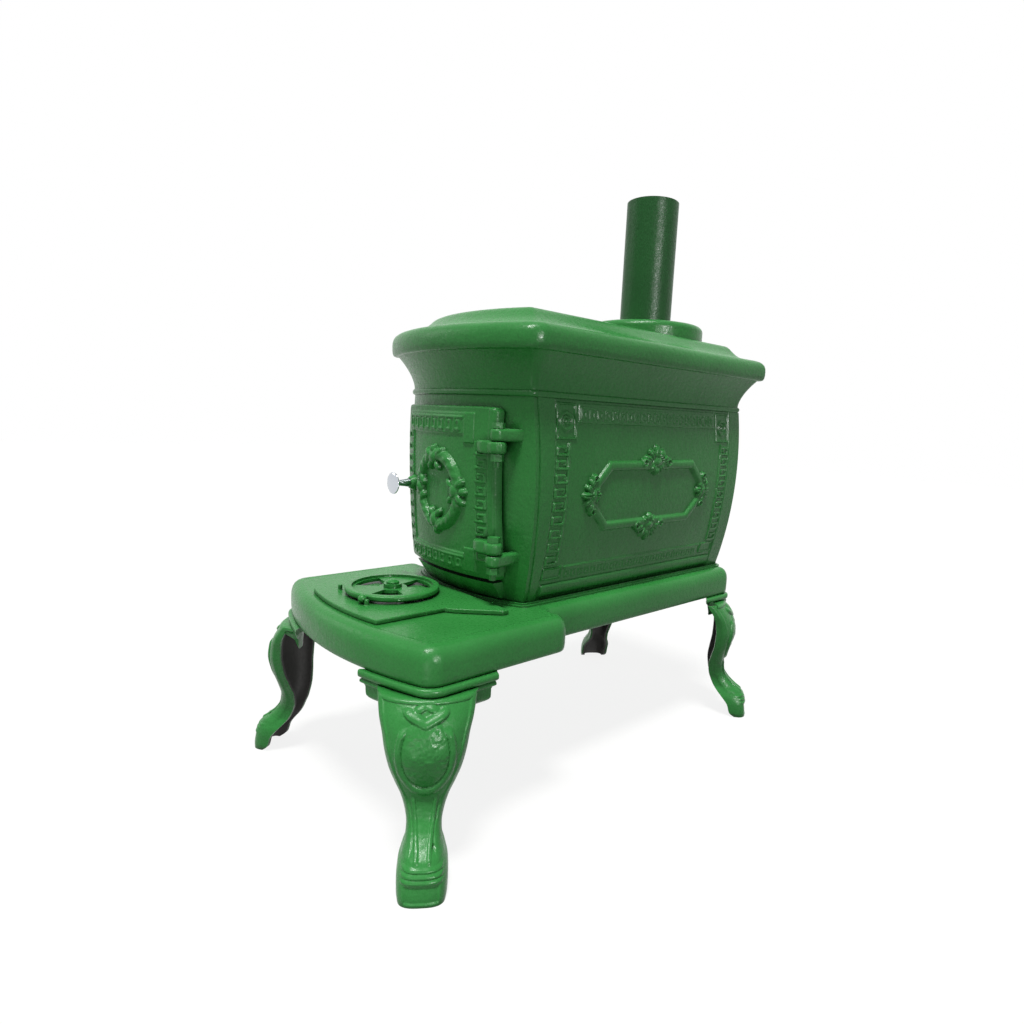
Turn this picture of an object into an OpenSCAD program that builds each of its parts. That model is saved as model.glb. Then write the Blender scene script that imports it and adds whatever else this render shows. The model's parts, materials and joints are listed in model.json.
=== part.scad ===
// Cast-iron box stove on cabriole legs, with a hearth, a fire door and a rotary draft.
// The front faces -Y, +X is the stove's side seen at the right, and the floor is at z = 0.

/* [Base and hearth] */
// Height of the legs, from the floor to the underside of the base
leg_h = 249; // [220:1:280]
// Height of the base casting's skirt and top together
base_h = 52; // [46:1:60]
// Half width of the base under the firebox
base_half = 166; // [158:1:172]
// Half width of the hearth
hearth_half = 213; // [205:1:222]
// Distance from the origin to the front of the hearth at its middle
hearth_front = 413; // [405:1:425]
// Radius of the hearth's bowed front edge
hearth_bow = 540; // [480:10:700]
// Distance from the origin back to the step where the wide hearth ends (negative is in front)
hearth_step = -124; // [-134:1:-114]
// Distance from the origin to the rear face of the base
base_rear = 396; // [390:1:400]
// Wall of the base casting
base_wall = 7; // [5:0.5:9]

/* [Firebox] */
// Height of the firebox walls, from the base to the cornice
body_h = 316; // [300:1:330]
// Half width of the firebox where it stands on the base
body_foot = 131; // [126:1:134]
// Half width of the firebox under the cornice
body_head = 155; // [150:1:158]
// How far the side panels belly out beyond the straight line from foot to head
side_belly = 18; // [10:1:22]
// Wall of the side panels, the front plate and the back plate
wall = 7; // [5:0.5:8]
// Distance from the origin back to the axis of the front's bow (it lies inside the firebox)
bow_y = 137; // [130:1:142]
// Radius of the bowed front at the foot
bow_foot = 316; // [312:1:318]
// Radius of the bowed front at the head
bow_head = 344; // [340:1:346]
// How far the front bellies out beyond the straight line from foot to head
front_belly = 10; // [6:1:12]
// Distance from the origin to the rear face of the back plate
body_rear = 382; // [378:1:385]

/* [Fire door] */
// Half width of the door
door_half = 117; // [112:1:119]
// Height of the door's lower edge above the base
door_low = 40; // [38:1:46]
// Distance of the door's upper edge below the cornice
door_drop = 17; // [15:1:26]
// Thickness of the door casting
door_t = 12; // [10:0.5:13]
// Radius of the door's outer face at its lower edge
door_bow_low = 347; // [345:1:350]
// Radius of the door's outer face at its upper edge
door_bow_high = 359; // [357:1:361]
// How far the door bellies out between its lower and upper edges
door_belly = 5; // [3:1:6]
// Gap between the closed door and the raised land of the front plate
door_gap = 0.6; // [0.4:0.1:1.5]
// How far the door laps over the edge of the opening
door_lap = 20; // [16:1:24]
// Corner radius of the door
door_corner = 9; // [6:1:14]

/* [Hinges] */
// Distance of the hinge axis from the stove's middle plane
hinge_x = 130; // [129:0.5:132]
// Distance of the hinge axis in front of the origin
hinge_y = 211; // [210:0.5:213]
// Radius of the hinge pins
pin_r = 5; // [4:0.5:5.5]
// Radial clearance of the hinge pins in the door's lugs
pin_fit = 0.08; // [0.05:0.01:0.1]
// Distance of the joint between the upper hinge's two lugs below the door's upper edge
hinge_drop = 48; // [40:1:56]
// Distance of the joint between the lower hinge's two lugs above the door's lower edge
hinge_rise = 46; // [40:1:56]
// Height of one hinge lug
lug_h = 18; // [15:1:18]
// Radius of a hinge lug's eye
lug_r = 11.5; // [10.5:0.5:12]

/* [Latch] */
// Distance of the latch spindle from the stove's middle plane
latch_x = 82; // [76:1:84]
// Height of the latch spindle above the base
latch_z = 170; // [150:1:190]
// Radius of the latch spindle
spindle_r = 5; // [4:0.5:6]
// Radial clearance of the spindle in the door
spindle_fit = 0.08; // [0.05:0.01:0.1]
// Radius of the chrome knob's disc
knob_r = 18; // [15:0.5:20]
// Length of the chrome knob
knob_len = 33; // [28:1:38]

/* [Cornice and cook top] */
// Height of the cornice, from the firebox walls to the cook top
cornice_h = 63; // [56:1:70]
// How far the cornice's cove flares out
cornice_flare = 28; // [22:1:30]
// Half width of the cook top
top_half = 192; // [188:1:196]
// Distance from the origin to the front of the cook top at its middle
top_front = 246; // [240:1:250]
// Radius of the cook top's bowed front edge
top_bow = 400; // [380:5:440]
// Distance from the origin to the rear edge of the cook top
top_rear = 414; // [412:1:416]
// Height of the cook top's rim
rim_h = 38; // [34:1:44]
// Height of the raised panel above the rim
panel_h = 29; // [20:1:32]
// Half width of the raised panel's flat
panel_half = 117; // [110:1:124]

/* [Flue] */
// Distance of the flue's axis behind the origin
flue_y = 263; // [250:1:268]
// Outer radius of the flue pipe
pipe_r = 50; // [48:0.5:52]
// Wall of the flue pipe
pipe_wall = 2; // [1.5:0.25:3]
// Length of the flue pipe section
pipe_len = 255; // [200:5:300]
// Radius of the flue collar
collar_r = 114; // [108:1:118]
// Height of the flue collar
collar_h = 31; // [28:1:38]

/* [Hearth lid and draft] */
// Half width of the hearth lid
lid_half = 98; // [94:1:102]
// Half width of the hearth lid's shoulders beside the firebox
lid_shoulder = 160; // [150:1:164]
// Thickness of the hearth lid
lid_t = 7; // [6:0.5:8]
// How far the lid lies to the side of the stove's middle plane
lid_x = -6; // [-8:1:4]
// How far the draft disc's axis lies to the side of the stove's middle plane
draft_x = -20; // [-21:1:10]
// Distance of the draft disc's axis in front of the origin
draft_y = 288; // [286:1:290]
// Radius of the draft disc
draft_r = 72; // [68:0.5:73]
// Thickness of the draft disc's rim
draft_t = 9; // [7:0.5:10]
// Number of openings in the draft disc
draft_n = 3; // [3:1:3]
// Radius of the pivot bolt
pivot_r = 4; // [3:0.5:4]

/* [Legs] */
// Half width of the front feet's spread, at the toes
toe_front_x = 259; // [254:1:264]
// Distance of the front toes in front of the origin
toe_front_y = 407; // [402:1:412]
// Half width of the rear feet's spread, at the toes
toe_rear_x = 218; // [213:1:221]
// Distance of the rear toes behind the origin
toe_rear_y = 410; // [405:1:413]
// Thickness of the leg casting
leg_wall = 8; // [6:0.5:9]

/* [Inside] */
// Thickness of the firebox liners
liner_t = 9; // [7:0.5:11]
// Height of the liners
liner_h = 190; // [150:5:200]
// Radius of the tie rods
rod_r = 4; // [3:0.5:5]
// Width of one slot in the grate
grate_slot = 14; // [10:1:16]
// Thickness of the grate
grate_t = 12; // [10:1:14]

/* [Hidden] */
// Smoothness of circles: small parts, and the long-radius arcs of walls and edges
$fn = 64;
fine = 360;
big = 900;
cut = 1;
seam = 0.2;
slip = 0.05;
// How far the pilasters stand out from the walls
strip_out = 2;
deck_z = leg_h + base_h;
head_z = deck_z + body_h;
plate_z = head_z + cornice_h;
panel_z = plate_z + rim_h + panel_h;
door_high = body_h - door_drop;
hinge_high = door_high - hinge_drop;
hinge_low = door_low + hinge_rise;
green = "forestgreen";
iron = "dimgray";
chrome = "silver";

// ---------- outlines ----------
// Points on an arc about (cx, cy) from angle a0 to a1
function arc(cx, cy, r, a0, a1, n) =
    [for (i = [0:n]) let (a = a0 + (a1 - a0) * i / n) [cx + r * cos(a), cy + r * sin(a)]];

// A right half that starts on the middle plane, joined to its mirror image
function mirrored(h) = concat(h, [for (i = [len(h) - 1:-1:1]) [-h[i][0], h[i][1]]]);

// Centre height of a corner arc of radius rc that touches a bow of radius r about bc and the side at w
function corner_y(w, bc, r, rc) = bc - sqrt(pow(r - rc, 2) - pow(w - rc, 2));

// Bowed front edge and its rounded corner, from the middle round to the side
function bowed_front(w, bc, r, rc, n) =
    let (cy = corner_y(w, bc, r, rc), phi = atan2(cy - bc, w - rc))
    concat(arc(0, bc, r, -90, phi, n), arc(w - rc, cy, rc, phi + 12, 0, 4));

// Plan with a bowed front, straight sides and rounded rear corners
function plan(w, bc, r, rc, yr, rb, n = 9) =
    mirrored(concat(bowed_front(w, bc, r, rc, n), arc(w - rb, yr - rb, rb, 0, 90, 4)));

// T-shaped plan of the base, drawn in by d: wide hearth in front, narrower behind the step
function base_plan(d) =
    let (hw = hearth_half, st = hearth_step, br = base_round)
    mirrored(concat(
        bowed_front(hw - d, hearth_bow - hearth_front, hearth_bow - d, hearth_round - d, 9),
        arc(hw - br, st - br, br - d, 0, 90, 4),
        arc(base_half + notch_round, st + notch_round, notch_round + d, 270, 180, 3),
        arc(base_half - br, base_rear - br, br - d, 0, 90, 4)));

// One ring of points at height z
function ring(points, z) = [for (p = points) [p[0], p[1], z]];

// Solid through a stack of rings. A loop joins the last ring to the first instead of capping both,
// and a band is capped across from its outer half to its inner half.
module skin(rings, loop = false, band = false) {
    n = len(rings[0]);
    m = len(rings);
    points = [for (r = rings) for (p = r) p];
    sides = [for (i = [0:(loop ? m - 1 : m - 2)]) for (j = [0:n - 1])
        let (a = i * n, b = ((i + 1) % m) * n, k = (j + 1) % n) [a + j, b + j, b + k, a + k]];
    foot = band ? [for (j = [0:n / 2 - 2]) [j, j + 1, n - 2 - j, n - 1 - j]] : [[for (j = [0:n - 1]) j]];
    head = [for (f = foot) [for (j = [len(f) - 1:-1:0]) f[j] + (m - 1) * n]];
    caps = loop ? [] : concat(foot, head);
    polyhedron(points, concat(sides, caps), convexity = 6);
}

// ---------- bellied walls ----------
// Radius and centre of the arc through (foot, 0) and (head, h) that bellies out by s
function chord(h, foot, head) = sqrt(h * h + pow(head - foot, 2));
function belly_r(h, foot, head, s) = (pow(chord(h, foot, head) / 2, 2) + s * s) / (2 * s);
function belly_c(h, foot, head, s) =
    let (c = chord(h, foot, head), k = belly_r(h, foot, head, s) - s)
    [(foot + head) / 2 - k * h / c, h / 2 + k * (head - foot) / c];

function belly_at(h, foot, head, s, z) =
    let (c = belly_c(h, foot, head, s)) c[0] + sqrt(pow(belly_r(h, foot, head, s), 2) - pow(z - c[1], 2));

// Section from the middle plane out to the bellied wall, drawn in by inset, between two heights
module belly(h, foot, head, s, inset = 0, lo = 0, hi = -1) {
    intersection() {
        translate(belly_c(h, foot, head, s)) circle(belly_r(h, foot, head, s) - inset, $fn = fine);
        translate([0, lo]) square([big, (hi < 0 ? h : hi) - lo]);
    }
}

module side_section(inset = 0, lo = 0, hi = -1)
    belly(body_h, body_foot, body_head, side_belly, inset, lo, hi);

module body_section(inset = 0) {
    side_section(inset);
    mirror([1, 0]) side_section(inset);
}

module bow_section(inset = 0, lo = 0, hi = -1)
    belly(body_h, bow_foot, bow_head, front_belly, inset, lo, hi);

module door_section(inset = 0)
    translate([0, door_low])
        belly(door_high - door_low, door_bow_low, door_bow_high, door_belly, inset);

// Section in x and z carried along y
module along_y(y0, y1) translate([0, y1, 0]) rotate([90, 0, 0]) linear_extrude(y1 - y0) children();

// Section in y and z carried along x
module along_x(x0, x1)
    translate([x0, 0, 0]) rotate([90, 0, 90]) linear_extrude(x1 - x0) children();

// Section in radius and height carried round the front's bow
module round_bow(a = 34)
    translate([0, bow_y, 0]) rotate([0, 0, 270 - a]) rotate_extrude(angle = 2 * a, $fn = fine) children();

// Everything inside the bowed front, as a full turn about the bow's axis
module bow_inside(inset)
    translate([0, bow_y, 0]) rotate_extrude($fn = fine) bow_section(inset);

module rounded(w, h, r) {
    translate([r, 0]) square([w - 2 * r, h]);
    translate([0, r]) square([w, h - 2 * r]);
    for (x = [r, w - r], y = [r, h - r]) translate([x, y]) circle(r);
}

// Upright rounded outline centred on the middle plane
module upright(half, lo, hi, r) translate([-half, lo]) rounded(2 * half, hi - lo, r);

module hex(across, h) cylinder(h = h, r = across / sqrt(3), $fn = 6);

// Rod with a bore-free end, pointing +z from z0 to z1
module rod(r, z0, z1) translate([0, 0, z0]) cylinder(h = z1 - z0, r = r);

// ---------- base ----------
hearth_round = 30;
base_round = 22;
notch_round = 8;
bow_back = hearth_bow - hearth_front;
// Moulded edge of the base: height up the skirt and how far it is drawn in
base_edge = [[0, 3], [5, 0.5], [18, 0], [33, 0.5], [41, 3], [47, 8], [base_h, 18]];
pit_half = 80;
pit_front = -350;
pit_bridge = -205;
pit_inner = -140;
pit_rear = 40;
pit_floor = 12;
locator_w = [4, 9];
locator_h = [5, 2.5];
boss_r = 14;
bolt_r = 5;
rod_x = 104;
rod_front = -126;
rod_rear = 360;
bolt_t = -85;
splay = 35;

front_cap = -133;
rear_cap = -101;
// Each leg: place of its toe, the turn that sends the leg's own +y outwards, and the cap's back edge
LEG_SPOTS = [[toe_front_x, -toe_front_y, -90 - splay, front_cap],
    [-toe_front_x, -toe_front_y, 90 + splay, front_cap],
    [toe_rear_x, toe_rear_y, splay - 90, rear_cap],
    [-toe_rear_x, toe_rear_y, 90 - splay, rear_cap]];

module at_leg(i)
    translate([LEG_SPOTS[i][0], LEG_SPOTS[i][1], 0]) rotate([0, 0, LEG_SPOTS[i][2]]) children();

module at_rods() for (x = [-rod_x, rod_x], y = [rod_front, rod_rear]) translate([x, y, 0]) children();

// Plan of the firebox walls, drawn out by d
module body_plan(d)
    polygon(plan(body_foot + d, bow_y, bow_foot + d, 6 + d, body_rear + d, 4 + d));

// Low step that locates the firebox walls on the base, clear of their belly and relief
locator_in = belly_at(body_h, body_foot, body_head, side_belly, locator_h[0]) - body_foot + strip_out + seam;
module locator(i)
    linear_extrude(locator_h[i]) difference() {
        body_plan(locator_in + locator_w[i]);
        body_plan(locator_in);
    }

module pit_space() {
    translate([-pit_half, pit_front, pit_floor])
        cube([2 * pit_half, pit_rear - pit_front, base_h - base_wall - pit_floor]);
    for (y = [[pit_front, pit_bridge], [pit_inner, pit_rear]])
        translate([-pit_half, y[0], pit_floor])
            cube([2 * pit_half, y[1] - y[0], base_h]);
}

module base_hearth() color(green) translate([0, 0, leg_h]) {
    difference() {
        union() {
            difference() {
                skin([for (e = base_edge) ring(base_plan(e[1]), e[0])]);
                translate([0, 0, -cut])
                    linear_extrude(base_h - base_wall + cut) polygon(base_plan(base_wall));
            }
            translate([-pit_half - 6, pit_front - 6, pit_floor - 6])
                cube([2 * pit_half + 12, pit_rear - pit_front + 12, base_h - base_wall - pit_floor + 7]);
            translate([0, 0, -leg_h]) for (i = [0:3]) at_leg(i)
                translate([0, bolt_t, leg_h]) cylinder(h = base_h - base_wall + 1, r = boss_r);
            translate([0, 0, base_h]) locator(0);
            translate([0, 0, base_h]) locator(1);
        }
        pit_space();
        at_rods() rod(rod_r + slip, -cut, base_h + cut);
        translate([0, 0, -leg_h]) for (i = [0:3]) at_leg(i)
            translate([0, bolt_t, leg_h - cut]) cylinder(h = 36, r = bolt_r + slip);
    }
}

// ---------- legs ----------
// Sections up the leg: height, front face and back edge measured out from the toe, half width, and
// how square the section's front is (small is square, 1 is an ellipse)
LEG = [[0, -1, -24, 29.5, 0.66], [8, 0, -34, 31.5, 0.66], [25, -2.5, -40, 32, 0.66],
    [37, -5, -49, 31, 0.68], [50, -12, -61, 26.5, 0.7], [60, -25, -69, 22.5, 0.7],
    [74, -40, -76, 21.5, 0.72], [88, -49, -81, 24, 0.74], [107, -52, -83, 30, 0.76],
    [127, -49, -80, 38.5, 0.8], [150, -42, -76, 46.5, 0.85], [174, -37, -75, 52, 0.9],
    [194, -39, -77, 55.5, 0.95], [212, -45, -81, 60, 1], [230, -54, -90, 63, 1.1],
    [245, -62, -99, 65, 1.2]];
leg_top = 249;
lug_t = 10;
// Steps of the leg's cap, down from the base: depth, height, inset from the base's edge, half width
// and how far its back edge is drawn in
CAP = [[lug_t, lug_t, -4, 93, 0], [20, 10, -2.5, 91, 1], [41, 21, 1, 82, 5]];
channel = [-67, -140, 52, 1.3];
channel_h = 44;
bolt_play = 0.5;

// Half turn of the leg's section, from one side round its front to the other
function leg_arc(front, back, w, square, n = 13) = [for (i = [0:n])
    let (a = 180 * i / n, c = cos(a), s = max(sin(a), 0))
    [w * sign(c) * pow(abs(c), square), back + (front - back) * pow(s, square)]];

function backward(points) = [for (i = [len(points) - 1:-1:0]) points[i]];

function leg_ring(q) = concat(leg_arc(q[1], q[2], q[3], q[4]),
    backward(leg_arc(q[1] - leg_wall, q[2], q[3] - leg_wall, q[4])));

// One step of the cap, which follows the edge of the base round the corner
module cap_step(i, q)
    translate([0, 0, leg_h - q[0]]) linear_extrude(q[1]) intersection() {
        polygon(base_plan(q[2]));
        at_leg(i) translate([-q[3], LEG_SPOTS[i][3] + q[4]])
            square([2 * q[3], -LEG_SPOTS[i][3] - q[4]]);
    }

module leg(i) color(green) difference() {
    union() {
        at_leg(i) skin([for (q = LEG) ring(leg_ring(q), q[0] * leg_h / leg_top)], band = true);
        for (q = CAP) cap_step(i, q);
    }
    at_leg(i) translate([0, 0, leg_h - channel_h]) linear_extrude(channel_h - lug_t)
        polygon(leg_arc(channel[0], channel[1], channel[2], channel[3]));
    at_leg(i) translate([0, bolt_t, leg_h - lug_t - cut])
        cylinder(h = lug_t + 2 * cut, r = bolt_r + bolt_play);
}

module leg_front_right() leg(0);
module leg_front_left() leg(1);
module leg_rear_right() leg(2);
module leg_rear_left() leg(3);

module leg_bolts() color(iron) for (i = [0:3]) at_leg(i)
    translate([0, bolt_t, leg_h - lug_t]) {
        rod(bolt_r, -1, 40);
        rod(11, -2, 0);
        translate([0, 0, -9]) hex(17, 7.5);
    }

// ---------- firebox walls ----------
strip_w = 38;
band_w = 24;
band_out = 1.5;
frame_out = 5;
frame_y = 110;
frame_z = 166;
frame_half = 162;
frame_high = 57;
frame_cut = 46;
frame_rim = 15;
panel_front = -123;
panel_back = 344;
panel_low = 18;
panel_high = 300;
pilaster = -128;

// Long eight-sided outline centred on (0, 0)
module octagon(half_w, half_h, cut_w)
    polygon([[half_w, half_h - cut_w], [half_w - cut_w, half_h], [cut_w - half_w, half_h],
        [-half_w, half_h - cut_w], [-half_w, cut_w - half_h], [cut_w - half_w, -half_h],
        [half_w - cut_w, -half_h], [half_w, cut_w - half_h]]);

module side_relief() {
    // raised pilasters at both ends
    along_y(-big / 2, pilaster) relief_ring(strip_out);
    along_y(body_rear - strip_w, body_rear) relief_ring(strip_out);
    // key band round the field and the eight-sided frame in its middle
    intersection() {
        along_y(-big / 2, body_rear) relief_ring(band_out);
        along_x(0, big) difference() {
            translate([panel_front, panel_low]) square([panel_back - panel_front, panel_high - panel_low]);
            translate([panel_front + band_w, panel_low + band_w])
                square([panel_back - panel_front - 2 * band_w, panel_high - panel_low - 2 * band_w]);
        }
    }
    intersection() {
        along_y(-big / 2, body_rear) relief_ring(frame_out);
        along_x(0, big) translate([frame_y, frame_z]) difference() {
            octagon(frame_half, frame_high, frame_cut);
            octagon(frame_half - frame_rim, frame_high - frame_rim, frame_cut * 0.86);
        }
    }
}

module relief_ring(out) difference() {
    side_section(-out);
    side_section(1);
}

module side_panel(s) color(green) translate([0, 0, deck_z]) mirror([s, 0, 0]) intersection() {
    union() {
        along_y(-big / 2, body_rear) difference() {
            side_section();
            side_section(wall);
        }
        side_relief();
    }
    bow_inside(wall + seam);
}
module side_panel_right() side_panel(0);
module side_panel_left() side_panel(1);

module back_plate() color(green) translate([0, 0, deck_z]) {
    along_y(body_rear - wall, body_rear) body_section(wall + seam);
    along_y(body_rear - 1, body_rear + 2) difference() {
        upright(100, 40, 280, 10);
        upright(92, 48, 272, 6);
    }
}

// ---------- front plate ----------
open_half = door_half - door_lap;
open_low = door_low + door_lap;
open_high = door_high - door_lap;
land_in = 6;
sill_half = 104;
keeper_h = 30;
keeper_y = -166;

// Lug from the front plate or the door to the hinge axis; the eye stands between z0 and z1
module eye(z0, z1) translate([hinge_x, -hinge_y, z0]) cylinder(h = z1 - z0, r = lug_r);

module pin_bore(fit) translate([hinge_x, -hinge_y, 0]) cylinder(h = body_h, r = pin_r + fit);

// Fixed lug; its root in the plate spans two places to the right of the hinge axis
upper_root = [-2, 18];
lower_root = [-10, 1];
module fixed_lug(z0, root) {
    eye(z0, z0 + lug_h);
    translate([0, 0, z0]) linear_extrude(lug_h)
        polygon([[hinge_x - lug_r + 1, 3 - hinge_y], [hinge_x + lug_r, -hinge_y],
            [hinge_x + root[1], -150], [hinge_x + root[0], -150]]);
}

// Catch behind the plate's edge that the latch's tongue turns in behind
module keeper() translate([0, 0, latch_z - keeper_h / 2]) linear_extrude(keeper_h)
    polygon([[-open_half - 1, -184], [-open_half - 1, keeper_y], [-open_half - 23, keeper_y],
        [-open_half - 23, -177]]);

module front_plate() color(green) translate([0, 0, deck_z]) {
    keeper();
    front_casting();
}

module front_casting() difference() {
    union() {
        intersection() {
            round_bow() difference() {
                bow_section();
                bow_section(wall + 6);
            }
            along_y(-big / 2, 0) body_section();
        }
        // land that the door closes on
        intersection() {
            round_bow(24) difference() {
                door_section(door_t + door_gap);
                bow_section(wall + 4);
            }
            along_y(-big / 2, 0) upright(door_half - land_in, door_low + land_in, door_high - land_in, 6);
        }
        // sloping sill under the door
        intersection() {
            round_bow(24) polygon([[bow_foot - 8, 8], [bow_foot + 9, 8], [bow_foot + 26, door_low - 6],
                [bow_foot - 8, door_low - 6]]);
            along_y(-big / 2, 0) translate([-sill_half, 0]) square([2 * sill_half, door_low]);
        }
        fixed_lug(hinge_high + 0.15, upper_root);
        fixed_lug(hinge_low - lug_h - 0.15, lower_root);
    }
    bow_inside(wall);
    along_y(-big / 2, 0) upright(open_half, open_low, open_high, 5);
    pin_bore(slip);
}

// ---------- cornice and cook top ----------
bead = [[0, 1], [1, 3], [5, 4.5], [9, 3], [10, 1.5]];
cove_n = 6;
cove = [for (i = [1:cove_n]) let (t = i / cove_n)
    [10 + (cornice_h - 10) * t, 1.5 + cornice_flare * pow(t, 1.7)]];
cornice_out = concat(bead, cove);
cornice_in = [for (i = [len(cornice_out) - 1:-2:0])
    [cornice_out[i][0], min(cornice_out[i][1], cornice_flare) - wall - 3]];
rear_share = 0.75;
rear_round = 8;
head_round = 10;

function head_ring(e) = ring(plan(body_head + e[1], bow_y, bow_head + e[1], head_round + e[1] * 0.7,
    body_rear + e[1] * rear_share, rear_round + e[1] * 0.2), e[0]);

module cornice() color(green) translate([0, 0, head_z])
    skin([for (e = concat(cornice_out, cornice_in)) head_ring(e)], true);

// Cook top from the underside, out round the rim and up to the panel: height, inset at sides, at rear
plate_t = 8;
top_edge = [[rim_h + panel_h - plate_t, 80, 34], [rim_h - plate_t, 42, 27], [rim_h - plate_t - 4, 14, 12],
    [0, 14, 12], [0, 5, 5], [5, 1, 1], [18, 0, 0], [27, 1, 1], [34, 5, 4], [rim_h, 13, 12],
    [rim_h + 2, 26, 20], [rim_h + 7, 46, 22.5], [rim_h + 18, 62, 24], [rim_h + panel_h - 3, 70, 25.5],
    [rim_h + panel_h, 75, 28]];

function top_ring(e) = ring(plan(top_half - e[1], top_bow - top_front, top_bow - e[1],
    max(34 - e[1] * 0.4, 6), top_rear - e[2], rear_round + e[2] * 0.3), e[0]);

module cook_top() color(green) translate([0, 0, plate_z]) difference() {
    union() {
        skin([for (e = top_edge) top_ring(e)]);
        at_rods() rod(boss_r - 3, rim_h - 16, rim_h + panel_h - plate_t + 3);
    }
    translate([0, flue_y, 0]) rod(pipe_r - 5, 0, rim_h + panel_h + cut);
    at_rods() rod(rod_r + 0.1, 0, rim_h + 10);
    at_collar() rod(3.4, 0, rim_h + panel_h + cut);
}

module at_collar() for (a = [30:120:270])
    translate([0, flue_y, 0]) rotate([0, 0, a]) translate([collar_screw, 0, 0]) children();

collar_wall = 7;
collar_screw = 84;
seat_h = 9;

module flue_collar() color(green) translate([0, flue_y, panel_z]) difference() {
    union() {
        rotate_extrude() {
            difference() {
                collar_face(0);
                collar_face(collar_wall);
            }
            translate([pipe_r + 0.4, 0]) square([7, collar_h - 2]);
            translate([pipe_r - 5, 0]) square([10, seat_h]);
        }
        translate([0, -flue_y, 0]) at_collar() rod(9, 0, collar_h - 3);
    }
    translate([0, -flue_y, 0]) at_collar() rod(3.05, -cut, 24);
}

// Half section of the collar with its rounded shoulder, drawn in by d
module collar_face(d) {
    edge = 12;
    difference() {
        union() {
            translate([pipe_r + 0.4, 0]) square([collar_r - pipe_r - 0.4 - d, collar_h - edge]);
            translate([pipe_r + 0.4, 0]) square([collar_r - pipe_r - 0.4 - edge, collar_h - d]);
            translate([collar_r - edge, collar_h - edge]) circle(edge - d);
        }
    }
}

module collar_screws() color(iron) at_collar() {
    rod(3, panel_z - plate_t - 0.5, panel_z + 22);
    rod(6.5, panel_z - plate_t - 4.5, panel_z - plate_t - 0.1);
}

module flue_pipe() color(green) translate([0, flue_y, panel_z + seat_h]) difference() {
    cylinder(h = pipe_len, r = pipe_r);
    rod(pipe_r - pipe_wall, -cut, pipe_len + cut);
}

module tie_rods() color(iron) at_rods() rod(rod_r, deck_z - base_wall - 14, plate_z + rim_h + 9);

module tie_rod_nuts() color(iron) at_rods() translate([0, 0, deck_z - base_wall - 8]) difference() {
    union() {
        hex(14, 6.4);
        rod(9, 6.4, 8);
    }
    rod(rod_r + slip, -cut, 9);
}

// ---------- inside the firebox ----------
grate_half = 98;
grate_front = -112;
grate_back = 336;
grate_foot = 12;
liner_gap = 3;

module fire_grate() color(iron) translate([0, 0, deck_z]) difference() {
    union() {
        translate([-grate_half, grate_front, grate_foot])
            cube([2 * grate_half, grate_back - grate_front, grate_t]);
        for (x = [-grate_half + 8, grate_half - 8], y = [grate_front + 8, grate_back - 8])
            translate([x, y, 0]) cylinder(h = grate_foot + 1, r = 7);
    }
    for (i = [-2:2])
        translate([i * 2 * grate_slot - grate_slot / 2, grate_front + 20, grate_foot - cut])
            cube([grate_slot, pit_rear - grate_front - 32, grate_t + 2 * cut]);
}

module liner(s) color(iron) translate([0, 0, deck_z]) mirror([s, 0, 0])
    translate([body_foot - wall - liner_gap - liner_t, grate_front, 0])
        cube([liner_t, grate_back - grate_front, liner_h]);
module liner_right() liner(0);
module liner_left() liner(1);
module liner_rear() color(iron) translate([-grate_half, grate_back + 4, deck_z])
    cube([2 * grate_half, liner_t, liner_h]);

// ---------- hinges ----------
pin_head = 8;
pin_tail = 20;

module hinge_pin(z_top) color(iron) translate([hinge_x, -hinge_y, deck_z + z_top]) {
    rod(pin_r, -2 * lug_h - pin_tail, 1);
    hex(17, pin_head);
}
module hinge_pin_upper() hinge_pin(hinge_high + lug_h + 0.3);
module hinge_pin_lower() hinge_pin(hinge_low + lug_h + 0.3);

module hinge_nuts() color(iron) for (z = [hinge_high, hinge_low])
    translate([hinge_x, -hinge_y, deck_z + z - lug_h - 10.5]) difference() {
        hex(17, 10);
        rod(pin_r + slip, -cut, 11);
    }

// ---------- fire door ----------
ring_r = 60;
ring_w = 17;
ring_x = -2;
ring_z = (door_low + door_high) / 2 - 1.5;
// Key border of the door: how far in it lies at the left, right, foot and head, and its widths there
border_in = [8, 16, 7, 10];
border_w = [26, 21, 28, 32];
knot_r = 13;
latch_boss = 18;
shield_y = -188;
shield_t = 4;
shield_left = -64;
shield_right = 84;
shield_low = door_low + 30;
shield_high = door_high - 31;
screw_in = 12;
screw_up = 14;

module at_screws()
    for (x = [shield_left + screw_in, shield_right - screw_in])
        for (z = [shield_low + screw_up, shield_high - screw_up])
            translate([x, 0, z]) rotate([-90, 0, 0]) children();

// Rectangle of the key border, in from the leaf's edges by the left, right, foot and head distances
module border_edge(in) translate([in[0] - door_half, door_low + in[2]])
    square([2 * door_half - in[0] - in[1], door_high - door_low - in[2] - in[3]]);

module door_relief(out) round_bow(24) difference() {
    door_section(-out);
    door_section(1);
}

module door_lug(z0) {
    eye(z0, z0 + lug_h);
    translate([0, 0, z0]) linear_extrude(lug_h)
        polygon([[hinge_x, -hinge_y - lug_r], [hinge_x - 3, -hinge_y + lug_r], [hinge_x - 18, -196],
            [hinge_x - 42, -198], [hinge_x - 44, -214], [hinge_x - 34, -hinge_y - lug_r + 2]]);
}

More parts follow.
